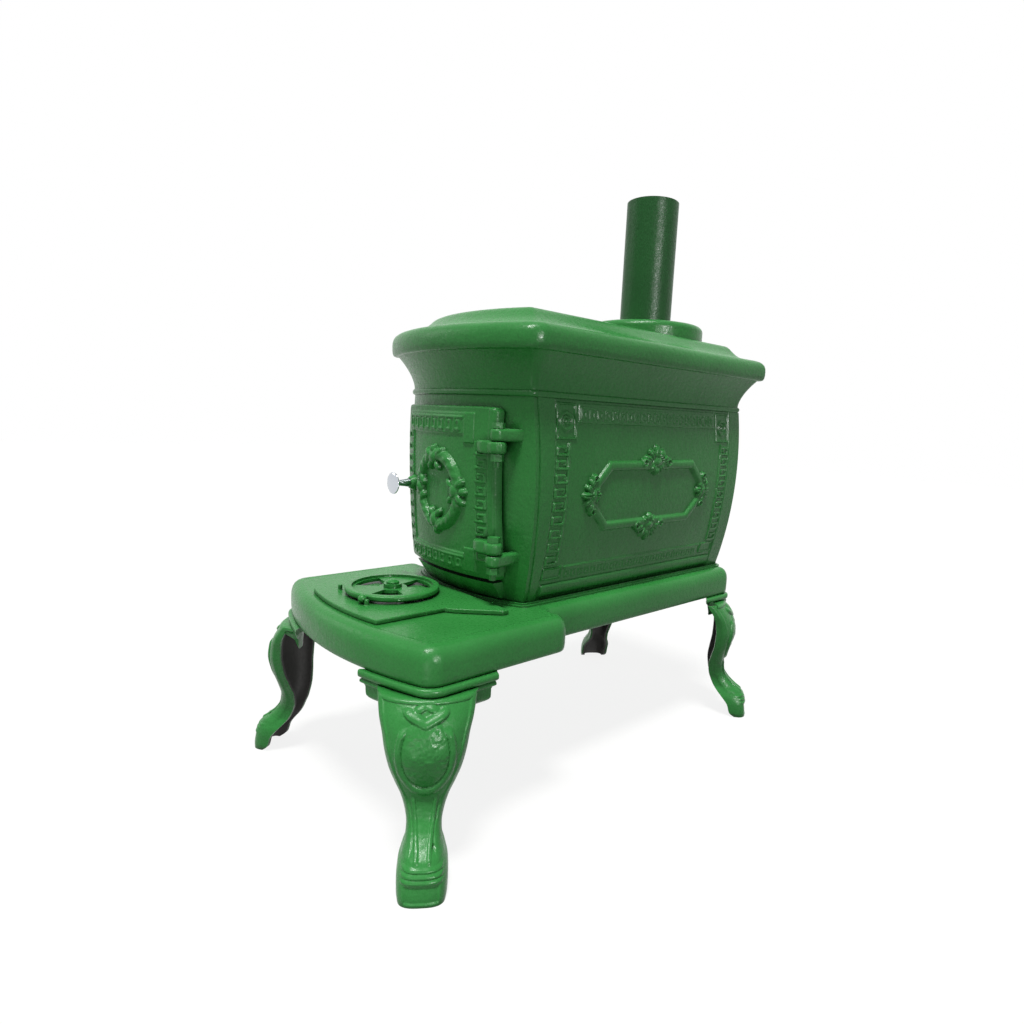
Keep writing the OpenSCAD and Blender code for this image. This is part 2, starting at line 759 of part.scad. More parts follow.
module fire_door() color(green) translate([0, 0, deck_z]) difference() {
    union() {
        intersection() {
            round_bow(24) difference() {
                door_section();
                door_section(door_t);
            }
            along_y(-big / 2, 0) upright(door_half, door_low, door_high, door_corner);
        }
        // key border and wreath
        intersection() {
            door_relief(band_out);
            along_y(-big / 2, 0) difference() {
                border_edge(border_in);
                border_edge(border_in + border_w);
            }
        }
        intersection() {
            door_relief(frame_out);
            along_y(-big / 2, 0) translate([ring_x, ring_z]) {
                difference() {
                    circle(ring_r);
                    circle(ring_r - ring_w);
                }
                for (a = [0:90:270]) rotate(a) translate([ring_r - ring_w / 2, 0]) circle(knot_r);
            }
        }
        door_lug(hinge_high - lug_h - 0.15);
        door_lug(hinge_low + 0.15);
        translate([-latch_x, -hinge_y - 13, latch_z]) rotate([-90, 0, 0]) cylinder(h = latch_boss, r = 11);
        // bosses that hold the heat shield off the door
        intersection() {
            at_screws() rod(7, -door_bow_low, shield_y);
            bow_door_inside();
        }
    }
    pin_bore(pin_fit);
    translate([-latch_x, 0, latch_z]) rotate([-90, 0, 0]) rod(spindle_r + spindle_fit, -300, -100);
    at_screws() rod(2.55, shield_y - 12, -100);
}

module bow_door_inside() translate([0, bow_y, 0]) rotate_extrude($fn = fine) door_section(door_t - 2);

module door_shield() color(iron) translate([0, 0, deck_z]) difference() {
    along_y(shield_y, shield_y + shield_t) translate([shield_left, shield_low])
        rounded(shield_right - shield_left, shield_high - shield_low, 8);
    at_screws() rod(2.9, -300, 0);
}

module shield_screws() color(iron) translate([0, 0, deck_z]) at_screws() {
    rod(2.5, shield_y - 10, shield_y + shield_t + 1);
    rod(5.5, shield_y + shield_t, shield_y + shield_t + 3.5);
}

// ---------- latch ----------
boss_face = -hinge_y - 13;
tongue_y = -164;
tongue_t = 5;
tongue_len = 26;
tail_r = 3.5;
tip_r = 3;
tip_len = 12;

module at_latch() translate([-latch_x, 0, deck_z + latch_z]) rotate([-90, 0, 0]) children();

module latch_spindle() color(iron) at_latch() {
    rod(spindle_r, boss_face - 0.3, tongue_y - 0.2);
    rod(tail_r, tongue_y - 1, tongue_y + tongue_t + 11);
    rod(tip_r, boss_face - tip_len, boss_face);
}

module latch_knob() color(chrome) at_latch() translate([0, 0, boss_face - 0.4]) mirror([0, 0, 1])
    difference() {
        rotate_extrude() {
            polygon([[0, 0], [7.5, 0], [7, 3], [5.2, 8], [4.6, 18], [5.4, knob_len - 9],
                [knob_r - 4, knob_len - 8], [0, knob_len - 6]]);
            intersection() {
                translate([0, knob_len - 8]) square([knob_r, 8]);
                translate([0, knob_len - knob_dome]) circle(knob_dome, $fn = fine);
                translate([0, knob_len - 8]) knob_rim();
            }
        }
        rod(tip_r + slip, -cut, tip_len);
    }

knob_dome = 60;
module knob_rim() {
    square([knob_r - 3, 8]);
    translate([knob_r - 4, 4]) circle(4);
}

module latch_tongue() color(iron) at_latch() translate([0, 0, tongue_y]) difference() {
    union() {
        cylinder(h = tongue_t, r = 8);
        translate([-7, -tongue_len, 0]) cube([14, tongue_len, tongue_t]);
        translate([0, -tongue_len, 0]) cylinder(h = tongue_t, r = 7);
    }
    rod(tail_r + slip, -cut, tongue_t + cut);
}

module latch_nut() color(iron) at_latch() translate([0, 0, tongue_y + tongue_t + 0.05]) difference() {
    hex(11, 7);
    rod(tail_r + slip, -cut, 8);
}

// ---------- hearth lid and draft ----------
lid_bow = 420;
lid_corner = -378;
lid_jog = -268;
lid_rear = -197;
sector_in = 22;
sector_out = 58;
sector_a = 52;
sector_rest = -40;
pad_h = 3;
pad_r = 15;
web_t = 5;
ball_r = 6.5;
ball_a = -64;
stop_a = [-57, -131];
stop_r = 3.2;
travel = 60;

module sector(a_mid, a_wide, side = big / 4) intersection() {
    difference() {
        circle(sector_out, $fn = fine);
        circle(sector_in, $fn = fine);
    }
    rotate(a_mid) polygon([[0, 0], [side, -side * tan(a_wide / 2)], [side, side * tan(a_wide / 2)]]);
}

module sectors(turn, a_wide) for (i = [0:draft_n - 1])
    sector(sector_rest + turn + i * 360 / draft_n, a_wide);

module lid_outline() {
    half = concat(
        arc(0, lid_corner + sqrt(pow(lid_bow, 2) - pow(lid_half, 2)), lid_bow, -90,
            -90 + asin(lid_half / lid_bow), 6),
        [[lid_half + 2, lid_jog], [lid_half + 14, lid_jog + 7], [lid_shoulder, lid_jog + 60],
            [lid_shoulder, lid_rear]]);
    polygon(mirrored(half));
}

module at_draft(z = 0) translate([draft_x, -draft_y, z]) children();

module hearth_lid() color(green) translate([0, 0, deck_z + seam]) difference() {
    union() {
        translate([lid_x, 0, 0]) linear_extrude(lid_t) lid_outline();
        at_draft() rod(pad_r, 0, lid_t + pad_h);
        for (a = stop_a) at_draft() rotate([0, 0, a]) translate([draft_r + 9, 0, 0])
            rod(stop_r, 0, lid_t + 9);
        // rib that locates the lid in the opening
        difference() {
            translate([-pit_half + 4, pit_front + 6, -5])
                cube([2 * pit_half - 8, pit_bridge - pit_front - 10, 5.5]);
            translate([-pit_half + 9, pit_front + 11, -6])
                cube([2 * pit_half - 18, pit_bridge - pit_front - 20, 6]);
        }
    }
    at_draft(-cut) linear_extrude(lid_t + pad_h + 2 * cut) sectors(travel, sector_a);
    at_draft() rod(pivot_r + slip, -cut, lid_t + pad_h + cut);
}

disc_z = deck_z + seam + lid_t + pad_h + 0.3;

module draft_disc() color(green) at_draft(disc_z) difference() {
    union() {
        rotate_extrude($fn = 96) {
            translate([0, 0]) square([draft_r - 4, web_t]);
            translate([sector_out + 4, 0]) square([draft_r - sector_out - 7, draft_t]);
            translate([0, 0]) square([14, draft_t + 2]);
            translate([draft_r - 3, 3]) square([3, draft_t - 6]);
            translate([draft_r - 3, 3]) circle(3);
            translate([draft_r - 3, draft_t - 3]) circle(3);
            translate([draft_r - 6, 0]) square([3, draft_t]);
        }
        rotate([0, 0, ball_a]) translate([draft_r + 5, 0, draft_t / 2]) sphere(ball_r);
        rotate([0, 0, ball_a]) translate([draft_r - 3, 0, draft_t / 2]) rotate([0, 90, 0])
            cylinder(h = 6, r = 3);
    }
    translate([0, 0, -cut]) linear_extrude(draft_t + 2) sectors(0, sector_a + 4);
    rod(pivot_r + 0.08, -cut, draft_t + 3);
}

hub_top = disc_z + draft_t + 2.3;
lid_under = deck_z + seam;

module draft_bolt() color(iron) at_draft() {
    rod(pivot_r, lid_under - 14, hub_top + 1);
    translate([0, 0, hub_top]) intersection() {
        cylinder(h = 7, r = 10);
        translate([0, 0, -9]) sphere(15);
    }
}

module draft_washer() color(iron) at_draft() difference() {
    rod(8, lid_under - 2.05, lid_under - 0.05);
    rod(pivot_r + slip, lid_under - 3, lid_under);
}

module draft_nut() color(iron) at_draft(lid_under - 9.1) difference() {
    hex(13, 7);
    rod(pivot_r + slip, -cut, 8);
}

base_hearth();
leg_front_right();
leg_front_left();
leg_rear_right();
leg_rear_left();
leg_bolts();
side_panel_right();
side_panel_left();
front_plate();
back_plate();
cornice();
cook_top();
flue_collar();
collar_screws();
flue_pipe();
tie_rods();
tie_rod_nuts();
fire_grate();
liner_right();
liner_left();
liner_rear();
hinge_pin_upper();
hinge_pin_lower();
hinge_nuts();
fire_door();
door_shield();
shield_screws();
latch_spindle();
latch_knob();
latch_tongue();
latch_nut();
hearth_lid();
draft_disc();
draft_bolt();
draft_washer();
draft_nut();
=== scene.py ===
import json
import math

import bmesh
import bpy
import numpy as np
from mathutils import Matrix, Vector


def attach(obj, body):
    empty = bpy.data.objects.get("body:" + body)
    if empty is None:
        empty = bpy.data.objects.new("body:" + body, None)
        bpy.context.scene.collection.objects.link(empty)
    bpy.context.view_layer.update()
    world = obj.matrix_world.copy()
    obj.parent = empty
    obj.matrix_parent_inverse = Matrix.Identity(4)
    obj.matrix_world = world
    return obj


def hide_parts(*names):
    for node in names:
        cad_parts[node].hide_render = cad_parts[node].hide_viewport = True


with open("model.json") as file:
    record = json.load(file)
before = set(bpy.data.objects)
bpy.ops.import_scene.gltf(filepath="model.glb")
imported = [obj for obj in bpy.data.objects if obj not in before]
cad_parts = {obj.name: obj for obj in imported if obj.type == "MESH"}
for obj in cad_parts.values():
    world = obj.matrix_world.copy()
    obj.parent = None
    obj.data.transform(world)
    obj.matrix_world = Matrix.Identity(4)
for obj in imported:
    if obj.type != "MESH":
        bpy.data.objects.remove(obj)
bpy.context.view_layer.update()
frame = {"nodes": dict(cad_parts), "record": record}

print("frame loaded:", len(frame["nodes"]), "nodes")

# Shapes are worked out in millimetres in the stove's own frame, and go to metres in meshObject.
heights = {"deck": 301.0, "walls": 316.0, "cornice": 63.0, "rim": 38.0, "panel": 29.0, "base": 249.0}
plateZ = heights["deck"] + heights["walls"] + heights["cornice"]
panelZ = plateZ + heights["rim"] + heights["panel"]


# Puts points and faces into a new mesh object that rides on the stove, shaded smooth up to an angle.
def meshObject(name, points, faces, smoothAngle=40, body="stove", stage=False):
    mesh = bpy.data.meshes.new(name)
    mesh.from_pydata((np.asarray(points, float).reshape(-1, 3) / 1000).tolist(), [], faces)
    mesh.validate()
    mesh.update()
    obj = bpy.data.objects.new(name, mesh)
    bpy.context.scene.collection.objects.link(obj)
    mesh.shade_smooth()
    mesh.set_sharp_from_angle(angle=math.radians(smoothAngle))
    if stage:
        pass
    else:
        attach(obj, body)
    return obj


# Quads of a grid of rows by columns points, joined end to end where a direction is closed.
def gridFaces(rows, columns, closedRows=False, closedColumns=False):
    r = np.arange(rows if closedRows else rows - 1)
    c = np.arange(columns if closedColumns else columns - 1)
    r, c = np.meshgrid(r, c, indexing="ij")
    r1, c1 = (r + 1) % rows, (c + 1) % columns
    quads = np.stack([r * columns + c, r * columns + c1, r1 * columns + c1, r1 * columns + c], -1)
    return quads.reshape(-1, 4).tolist()


# The two faces that close a stack of m rings of n points: its first ring turned round, and its last ring.
def endCaps(m, n):
    return [list(range(n))[::-1], list(range((m - 1) * n, m * n))]


# Turns a mesh's faces so that they all point out of the closed shape.
def facesOut(obj):
    b = bmesh.new()
    b.from_mesh(obj.data)
    bmesh.ops.recalc_face_normals(b, faces=b.faces)
    b.to_mesh(obj.data)
    b.free()
    return obj


# Closed body from a stack of closed rings: capped at both ends, or its last ring joined to its first.
def ringBody(name, rings, loop=False, smoothAngle=35, body="stove"):
    m, n = len(rings), len(rings[0])
    faces = gridFaces(m, n, closedRows=loop, closedColumns=True)
    if not loop:
        faces += endCaps(m, n)
    return facesOut(meshObject(name, np.concatenate(rings), faces, smoothAngle, body))


softAngle = 32.0  # edges that turn by more than this many degrees are rounded and shaded sharp


# A copy of a CAD casting with its coplanar triangles merged and its edges rounded by a bevel.
def castCopy(name, node, body, width, clamp, rounds):
    b = bmesh.new()
    b.from_mesh(frame["nodes"][node].data)
    bmesh.ops.remove_doubles(b, verts=b.verts, dist=1e-6)
    bmesh.ops.dissolve_limit(b, angle_limit=math.radians(1.0), verts=b.verts, edges=b.edges)
    if rounds:
        roundLevelEdges(b, *rounds)
    mesh = bpy.data.meshes.new(name)
    b.to_mesh(mesh)
    b.free()
    obj = bpy.data.objects.new(name, mesh)
    bpy.context.scene.collection.objects.link(obj)
    mesh.shade_smooth()
    mesh.set_sharp_from_angle(angle=math.radians(softAngle))
    softenEdges(obj, width, clamp)
    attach(obj, body)
    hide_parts(node)
    return obj


# Rounds the level outer edges inside a box by a radius, all in millimetres.
def roundLevelEdges(b, low, high, radius):
    low, high = Vector(low) / 1000, Vector(high) / 1000
    chosen = [e for e in b.edges if e.is_manifold and e.is_convex and e.calc_face_angle() > 1.0
              and abs(e.verts[0].co.z - e.verts[1].co.z) < 1e-6
              and all(low[i] < v.co[i] < high[i] for v in e.verts for i in (0, 1, 2))]
    bmesh.ops.bevel(b, geom=chosen, offset=radius / 1000, offset_type="OFFSET", segments=4, profile=0.5,
                    affect="EDGES", clamp_overlap=False)


# Rounds the edges that turn sharply, over a width in millimetres, by a bevel of two segments.
def softenEdges(obj, width, clamp):
    soften = obj.modifiers.new("softEdges", "BEVEL")
    soften.width, soften.segments, soften.limit_method = width / 1000, 2, "ANGLE"
    soften.angle_limit = math.radians(softAngle)
    soften.harden_normals = True
    soften.use_clamp_overlap = clamp


# Relief is worked out as heights of ornament at each place, from the functions below.


# Rises smoothly from 0 at a to 1 at b.
def ramp(v, a, b):
    t = np.clip((v - a) / (b - a), 0, 1)
    return t * t * (3 - 2 * t)


# 1 inside the half width, falling smoothly to 0 across its edge.
def bar(d, half, soft=0.8):
    return 1 - ramp(d, half - soft, half + soft)


# Half-round section, 1 along d = 0 and 0 at the half width.
def roundBar(d, half):
    return np.sqrt(np.clip(1 - (d / half) ** 2, 0, 1))


# Flat-topped section with well rounded shoulders.
def fatBar(d, half):
    return np.clip(1 - np.abs(d / half) ** 3.2, 0, 1) ** 0.5


# Distance of each point (u, v) from the segment between two points.
def fromSegment(u, v, a, b):
    du, dv = b[0] - a[0], b[1] - a[1]
    t = np.clip(((u - a[0]) * du + (v - a[1]) * dv) / (du * du + dv * dv), 0, 1)
    return np.hypot(u - a[0] - t * du, v - a[1] - t * dv)


# Domed oval about (cu, cv) with half axes a and b, turned by an angle in degrees.
def dome(u, v, cu, cv, a, b, turn=0.0):
    c, s = math.cos(math.radians(turn)), math.sin(math.radians(turn))
    p, q = (u - cu) * c + (v - cv) * s, (v - cv) * c - (u - cu) * s
    return np.sqrt(np.clip(1 - (p / a) ** 2 - (q / b) ** 2, 0, 1))


# 1 inside a rectangle, with soft edges.
def plate(u, v, u0, u1, v0, v1, soft=0.8):
    return (ramp(u, u0 - soft, u0 + soft) * (1 - ramp(u, u1 - soft, u1 + soft))
            * ramp(v, v0 - soft, v0 + soft) * (1 - ramp(v, v1 - soft, v1 + soft)))


# Scattered height from 0 to 1 of the grid corner (i, j): the fraction of a steep sine.
def cornerHeight(i, j):
    return (np.sin(i * 127.1 + j * 311.7) * 43758.5453) % 1


# Smooth scattered heights: the four corner heights of a grid cell of the given size, blended by place.
def speckle(u, v, size):
    i, j = np.floor(u / size), np.floor(v / size)
    fu, fv = ramp(u / size - i, 0, 1), ramp(v / size - j, 0, 1)
    return (cornerHeight(i, j) * (1 - fu) * (1 - fv) + cornerHeight(i + 1, j) * fu * (1 - fv)
            + cornerHeight(i, j + 1) * (1 - fu) * fv + cornerHeight(i + 1, j + 1) * fu * fv)


# One hooked key of the border, as strokes in shares of the pitch along it and the width across it.
keyStrokes = [((0.10, 0.08), (0.10, 0.92)), ((0.10, 0.08), (0.62, 0.08)), ((0.62, 0.08), (0.62, 0.66)),
              ((0.36, 0.66), (0.62, 0.66)), ((0.10, 0.92), (0.98, 0.92))]


# Greek key between two ends of a band: along runs along the band and across runs over its width.
def keyBand(along, across, start, end, width, pitch, stroke):
    count = max(round((end - start) / pitch), 1)
    step = (end - start) / count
    place = (along - start) % step
    gap = np.full(np.shape(along), 99.0)
    for a, b in keyStrokes:
        gap = np.minimum(gap, fromSegment(place, across, (a[0] * step, a[1] * width),
                                          (b[0] * step, b[1] * width)))
    return bar(gap, stroke, 0.7) * plate(along, across, start, end, -1, width + 1, 0.4)


# Scrolled rosette: a rolled rim with a spiral that winds in to a boss.
def rosette(u, v, radius):
    r, a = np.hypot(u, v), np.arctan2(v, u)
    wind = np.abs(((r / (radius * 0.42) - a / (2 * np.pi)) % 1) - 0.5) * 2
    spiral = ramp(wind, 0.25, 0.75) * (r < radius * 0.95)
    return np.maximum.reduce([0.75 * spiral, roundBar(r - radius, radius * 0.2),
                              1.1 * dome(u, v, 0, 0, radius * 0.3, radius * 0.3)])


# Lobes of a leaf cluster: place, half axes and turn of each.
leafLobes = [(0, 14, 7, 12, 0), (-11, 11, 6, 10, 36), (11, 11, 6, 10, -36), (-20, 4, 6, 9, 68),
             (20, 4, 6, 9, -68), (0, 0, 14, 9, 0), (0, -12, 7, 8, 0), (-9, -8, 5, 8, -42),
             (9, -8, 5, 8, 42)]


# Leaf cluster about (0, 0) that points to +v: the highest of its veined lobes, a boss and two scrolls.
def leafCluster(u, v):
    h = 0 * u
    for cu, cv, a, b, turn in leafLobes:
        along = (u - cu) * math.cos(math.radians(turn)) + (v - cv) * math.sin(math.radians(turn))
        h = np.maximum(h, dome(u, v, cu, cv, a, b, turn) ** 0.8 * (1 - 0.25 * bar(np.abs(along), 0.8, 0.7)))
    h = np.maximum(h, 1.12 * dome(u, v, 0, -1, 6.5, 5.5))
    for side in (-1, 1):
        r = np.hypot(u - 29 * side, v + 1)
        h = np.maximum.reduce([h, 0.95 * roundBar(r - 5.0, 2.8), 0.9 * roundBar(r, 2.2)])
    return h


# Bellied line from foot to head: how far out it stands at height z, for an arc that swells out by s.
def belly(z, height, foot, head, s):
    c = math.hypot(height, head - foot)
    r = ((c / 2) ** 2 + s * s) / (2 * s)
    k = r - s
    centre = (foot + head) / 2 - k * height / c
    return centre + np.sqrt(r * r - (z - height / 2 - k * (head - foot) / c) ** 2)


wallLook = {"foot": 131.0, "head": 155.0, "swell": 18.0, "rear": 382.0, "wall": 7.0}
bowLook = {"centre": 137.0, "foot": 316.0, "head": 344.0, "swell": 10.0}


# How far the side wall stands out from the middle plane at height z: its belly.
def sideOut(z):
    return belly(z, heights["walls"], wallLook["foot"], wallLook["head"], wallLook["swell"])


# Radius of the bowed front about its centre at height z: the belly of the front.
def bowOut(z):
    return belly(z, heights["walls"], bowLook["foot"], bowLook["head"], bowLook["swell"])


# Side panels, in millimetres along the stove and above the base.
sideLook = {
    "rows": 228, "columns": 384, "inner": 8,
    "frame": {"y": 110.0, "z": 166.0, "half": 162.0, "high": 57.0, "cut": 46.0, "rim": 15.0, "out": 5.4},
    # place along the stove, height above the base, turn and size of each leaf cluster
    "clusters": [(115, 221, 0, 1.15), (112, 111, 180, 1.1), (-41, 170, 90, 0.92), (261, 168, -90, 0.9)],
    "blocks": [(-126, -84, 257, 311), (300, 342, 257, 311), (-126, -84, 38, 58), (300, 342, 38, 58)],
    "rosettes": [(-104.5, 284, 13.0), (321, 284, 13.0)],
}


# Ornament of the side panel at a place along the stove and a height above the base: the highest of the
# pilasters, key bands, corner blocks, rosettes, foot mouldings, eight-sided frame and leaf clusters.
def sideRelief(y, z):
    look = sideLook
    f = look["frame"]
    h = 2.0 * np.maximum(1 - ramp(y, -129.5, -127), ramp(y, 343.5, 346))
    keys = np.maximum(keyBand(z, y + 125, 62, 253, 28, 21, 2.1),
                      keyBand(z, 344 - y, 62, 253, 28, 21, 2.1))
    h = np.maximum(h, 2.3 * keys)
    topBand = plate(y, z, -77, 293, 283.5, 311.5)
    h = np.maximum(h, topBand * (1.7 + 1.5 * keyBand(y, z - 287, -74, 290, 20, 18.5, 1.9)))
    h = np.maximum(h, 3.2 * roundBar(z - 284.5, 2.6) * plate(y, z, -77, 293, 270, 300))
    for y0, y1, z0, z1 in look["blocks"]:
        edge = plate(y, z, y0, y1, z0, z1) - plate(y, z, y0 + 2.6, y1 - 2.6, z0 + 2.6, z1 - 2.6)
        h = np.maximum(h, 2.3 * edge)
    for y0, z0, radius in look["rosettes"]:
        h = np.maximum(h, 2.6 * rosette(y - y0, z - z0, radius))
    h = np.maximum(h, 2.0 * roundBar(z - 55, 2.4) * plate(y, z, -80, 296, 0, 80))
    h = np.maximum(h, 1.2 * keyBand(y, z - 38, -76, 292, 14, 16, 1.4))
    h = np.maximum(h, 4.6 * fatBar(z - 20, 10.5) * (ramp(y, -126.5, -122) - ramp(y, 338, 343)))
    u, v = np.abs(y - f["y"]), np.abs(z - f["z"])
    outside = np.maximum.reduce([v - f["high"], u - f["half"],
                                 (u + v - f["half"] - f["high"] + f["cut"]) / math.sqrt(2)])
    h = np.maximum(h, f["out"] * fatBar(outside + f["rim"] / 2, f["rim"] / 2))
    for cy, cz, turn, size in look["clusters"]:
        c, s = math.cos(math.radians(turn)) / size, math.sin(math.radians(turn)) / size
        du, dv = y - cy, z - cz
        h = np.maximum(h, 8.2 * leafCluster(du * c + dv * s, dv * c - du * s))
    return h


# Where a wall that stands x out from the middle meets the inside of the bowed front plate.
def frontEnd(x, z):
    inside = bowOut(z) - wallLook["wall"] - 0.2
    return bowLook["centre"] - np.sqrt(inside ** 2 - x ** 2)


# Cast side panel: relief outside, plain inside, as one loop of rows carried from front to rear.
def sidePanel(name, node, side):
    look = sideLook
    z = np.linspace(0, heights["walls"], look["rows"])
    zIn = np.linspace(heights["walls"], 0, look["inner"])
    t = np.linspace(0, 1, look["columns"])
    outer, inner = sideOut(z), sideOut(zIn) - wallLook["wall"]
    rows = []
    for x, h, relief in ((outer, z, True), (inner, zIn, False)):
        start = frontEnd(x, h)[:, None]
        y = start + (wallLook["rear"] - start) * t[None, :]
        hh = np.repeat(h[:, None], len(t), 1)
        out = x[:, None] + (sideRelief(y, hh) if relief else 0)
        rows.append(np.stack([side * (out + 0 * y), y, hh + heights["deck"]], -1))
    grid = np.concatenate(rows)
    m, n = grid.shape[:2]
    faces = gridFaces(m, n, closedRows=True)
    faces += [[i * n for i in range(m)], [i * n + n - 1 for i in range(m)]]
    obj = facesOut(meshObject(name, grid, faces, 50))
    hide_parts(node)
    return obj


enamelPieces = [sidePanel("sidePanelRight", "side_panel_right", 1),
                sidePanel("sidePanelLeft", "side_panel_left", -1)]
print("side panels made")

# Fire door, in millimetres from the stove's middle plane and above the base.
doorLook = {
    "rows": 216, "columns": 200, "inner": 10, "low": 40.0, "high": 299.0, "half": 117.0, "corner": 9.0,
    "lip": 2.6, "thick": 12.0, "foot": 347.0, "head": 359.0, "swell": 5.0,
    "ring": {"x": -2.0, "z": 168.0, "r": 50.5, "half": 9.6, "tall": 1.08, "out": 8.4},
}


# Leafy knots of the wreath: place, half axes, turn and height of each leaf or ball.
wreathLeaves = [(-50, 167, 11, 12, 0, 11.0), (-42, 181, 6, 11, 22, 9.5), (-44, 153, 6, 11, -22, 9.5),
                (45, 170, 11, 13, 0, 11.0), (55, 158, 6.5, 12, 40, 9.5), (34, 180, 6.5, 11, 38, 9.5),
                (36, 157, 6, 11, -48, 9.0), (54, 181, 6, 11, -35, 9.5), (60, 170, 7, 7, 0, 8.6),
                (-7, 219, 11, 11, 0, 11.0), (-9, 231, 5.5, 8, 0, 9.5), (-21, 224, 6, 12, 50, 9.5),
                (7, 226, 6, 12, -50, 9.5), (-15, 207, 5.5, 10, -34, 9.5), (3, 206, 5.5, 9, 34, 9.5),
                (-7, 119, 10.5, 13, 10, 11.0), (8, 112, 6, 12, -50, 9.5), (-21, 115, 6, 12, 50, 9.5),
                (-4, 104, 5.5, 8, 0, 9.0), (-15, 132, 5.5, 9, 34, 9.5), (3, 131, 5.5, 9, -34, 9.0)]


# Height of the wreath's knots: the highest of their domed leaves.
def wreathKnots(x, z):
    h = 0 * x
    for cx, cz, a, b, turn, out in wreathLeaves:
        h = np.maximum(h, out * dome(x, z, cx, cz, a, b, turn) ** 0.75)
    return h


# Ornament of the door: the highest of its hinge strip, key bands, corner plates, roped ring and knots.
def doorRelief(x, z):
    r = doorLook["ring"]
    h = 1.8 * ramp(x, 102.5, 105.5)
    h = np.maximum(h, 2.1 * keyBand(z, 101 - x, 66, 248, 21, 20.5, 1.9))
    h = np.maximum(h, 2.0 * keyBand(z, x + 109, 66, 262, 24, 20.5, 1.9))
    for low, high, foot, width in ((257, 289, 262, 22), (47, 75, 51, 19)):
        keys = keyBand(x, z - foot, -98, 56, width, 19, 1.9)
        h = np.maximum(h, plate(x, z, -101, 58, low, high) * (1.6 + 1.4 * keys))
    h = np.maximum(h, 2.4 * np.maximum(plate(x, z, 58, 79, 245, 289), plate(x, z, 58, 79, 47, 85)))
    radius = np.hypot(x - r["x"], (z - r["z"]) / r["tall"])
    rope = 1 + 0.06 * np.sin(np.arctan2(z - r["z"], x - r["x"]) * 22 + radius * 0.3)
    h = np.maximum(h, r["out"] * rope * roundBar(radius - r["r"], r["half"]))
    return np.maximum(h, wreathKnots(x, z))


# Door leaf: rows of loops, each out over the bowed face and back along the plain inside.
def doorLeaf():
    look = doorLook
    z = np.linspace(look["low"], look["high"], look["rows"])
    edge = np.minimum(z - look["low"], look["high"] - z)
    corner, lipRound = look["corner"], look["lip"]
    drawn = corner - np.sqrt(np.clip(corner ** 2 - (corner - edge) ** 2, 0, None))
    half = (look["half"] - np.where(edge < corner, drawn, 0))[:, None]
    tall = look["high"] - look["low"]
    lean = belly(z - look["low"], tall, look["foot"], look["head"], look["swell"])[:, None]
    s = np.linspace(-1, 1, look["columns"])
    s = (s * 1.02 - 0.02 * s ** 5)[None, :]
    x = s * half
    zz = np.repeat(z[:, None], x.shape[1], 1)
    inset = np.minimum(half - np.abs(x), edge[:, None])
    lip = lipRound - np.sqrt(np.clip(lipRound ** 2 - np.clip(lipRound - inset, 0, lipRound) ** 2, 0, None))
    out = lean + doorRelief(x, zz) * ramp(inset, 1.5, 4.0) - lip
    y = bowLook["centre"] - np.sqrt(out ** 2 - x ** 2)
    xi = np.linspace(1, -1, look["inner"])[None, :] * half
    yi = bowLook["centre"] - np.sqrt((lean - look["thick"]) ** 2 - xi ** 2)
    zi = np.repeat(z[:, None], xi.shape[1], 1)
    grid = np.concatenate([np.stack([x, y, zz + heights["deck"]], -1),
                           np.stack([xi, yi, zi + heights["deck"]], -1)], 1)
    m, n = grid.shape[:2]
    faces = gridFaces(m, n, closedColumns=True) + endCaps(m, n)
    obj = facesOut(meshObject("doorLeaf", grid, faces, 50, "door"))
    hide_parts("fire_door")
    return obj


hingeLook = {
    "x": 130.0, "y": -211.0, "bore": 5.08, "high": 251.0, "low": 86.0, "lug": 18.0, "round": 4.6,
    # outline from above, round the pin: the eye, then a waist, then the arm that runs into the leaf
    "arm": [(-44, -2), (-40, -8), (-31, -11), (-22, -11.6), (-17.2, -10), (-14.6, -8.2), (-12, -9.6),
            (-8, -12), (0, -12.4), (8, -9.6), (12.2, -3), (12.2, 3), (9, 9), (2, 12), (-4, 12.2),
            (-18, 14.6), (-42, 13)],
}


# Distance from the middle out to a star-shaped outline in each of the directions a (radians).
def reachOf(outline, a):
    p = np.array(outline, float)
    e = np.roll(p, -1, 0) - p
    c, s = np.cos(a)[:, None], np.sin(a)[:, None]
    span = c * e[None, :, 1] - s * e[None, :, 0]
    span = np.where(np.abs(span) < 1e-9, 1e-9, span)
    far = (p[None, :, 0] * e[None, :, 1] - p[None, :, 1] * e[None, :, 0]) / span
    share = (p[None, :, 0] * s - p[None, :, 1] * c) / span
    met = (share > -1e-6) & (share < 1 + 1e-6) & (far > 0)
    return np.min(np.where(met, far, 1e9), 1)


# Hinge lug of the door: a waisted arm with a round eye, all edges well rounded, bored for the pin.
def doorLug(name, z0):
    look = hingeLook
    a = np.linspace(-np.pi, np.pi, 144, endpoint=False)
    reach = reachOf(look["arm"], a)
    reach = np.convolve(np.concatenate([reach[-1:], reach, reach[:1]]), [0.25, 0.5, 0.25], "valid")
    around = np.stack([np.cos(a), np.sin(a)], -1)
    r, tall = look["round"], look["lug"]
    turn = np.radians([0, 22, 45, 68, 90])
    low = [(-r * (1 - math.sin(t)), r * (1 - math.cos(t))) for t in turn]
    edge = low + [(d, tall - h) for d, h in low[::-1]]
    rings = [np.column_stack([around * (reach + d)[:, None] + [look["x"], look["y"]],
                              np.full(len(a), h + z0 + heights["deck"])]) for d, h in edge]
    for h in (tall, 0):
        rings.append(np.column_stack([around * look["bore"] + [look["x"], look["y"]],
                                      np.full(len(a), h + z0 + heights["deck"])]))
    return ringBody(name, rings, loop=True, body="door")


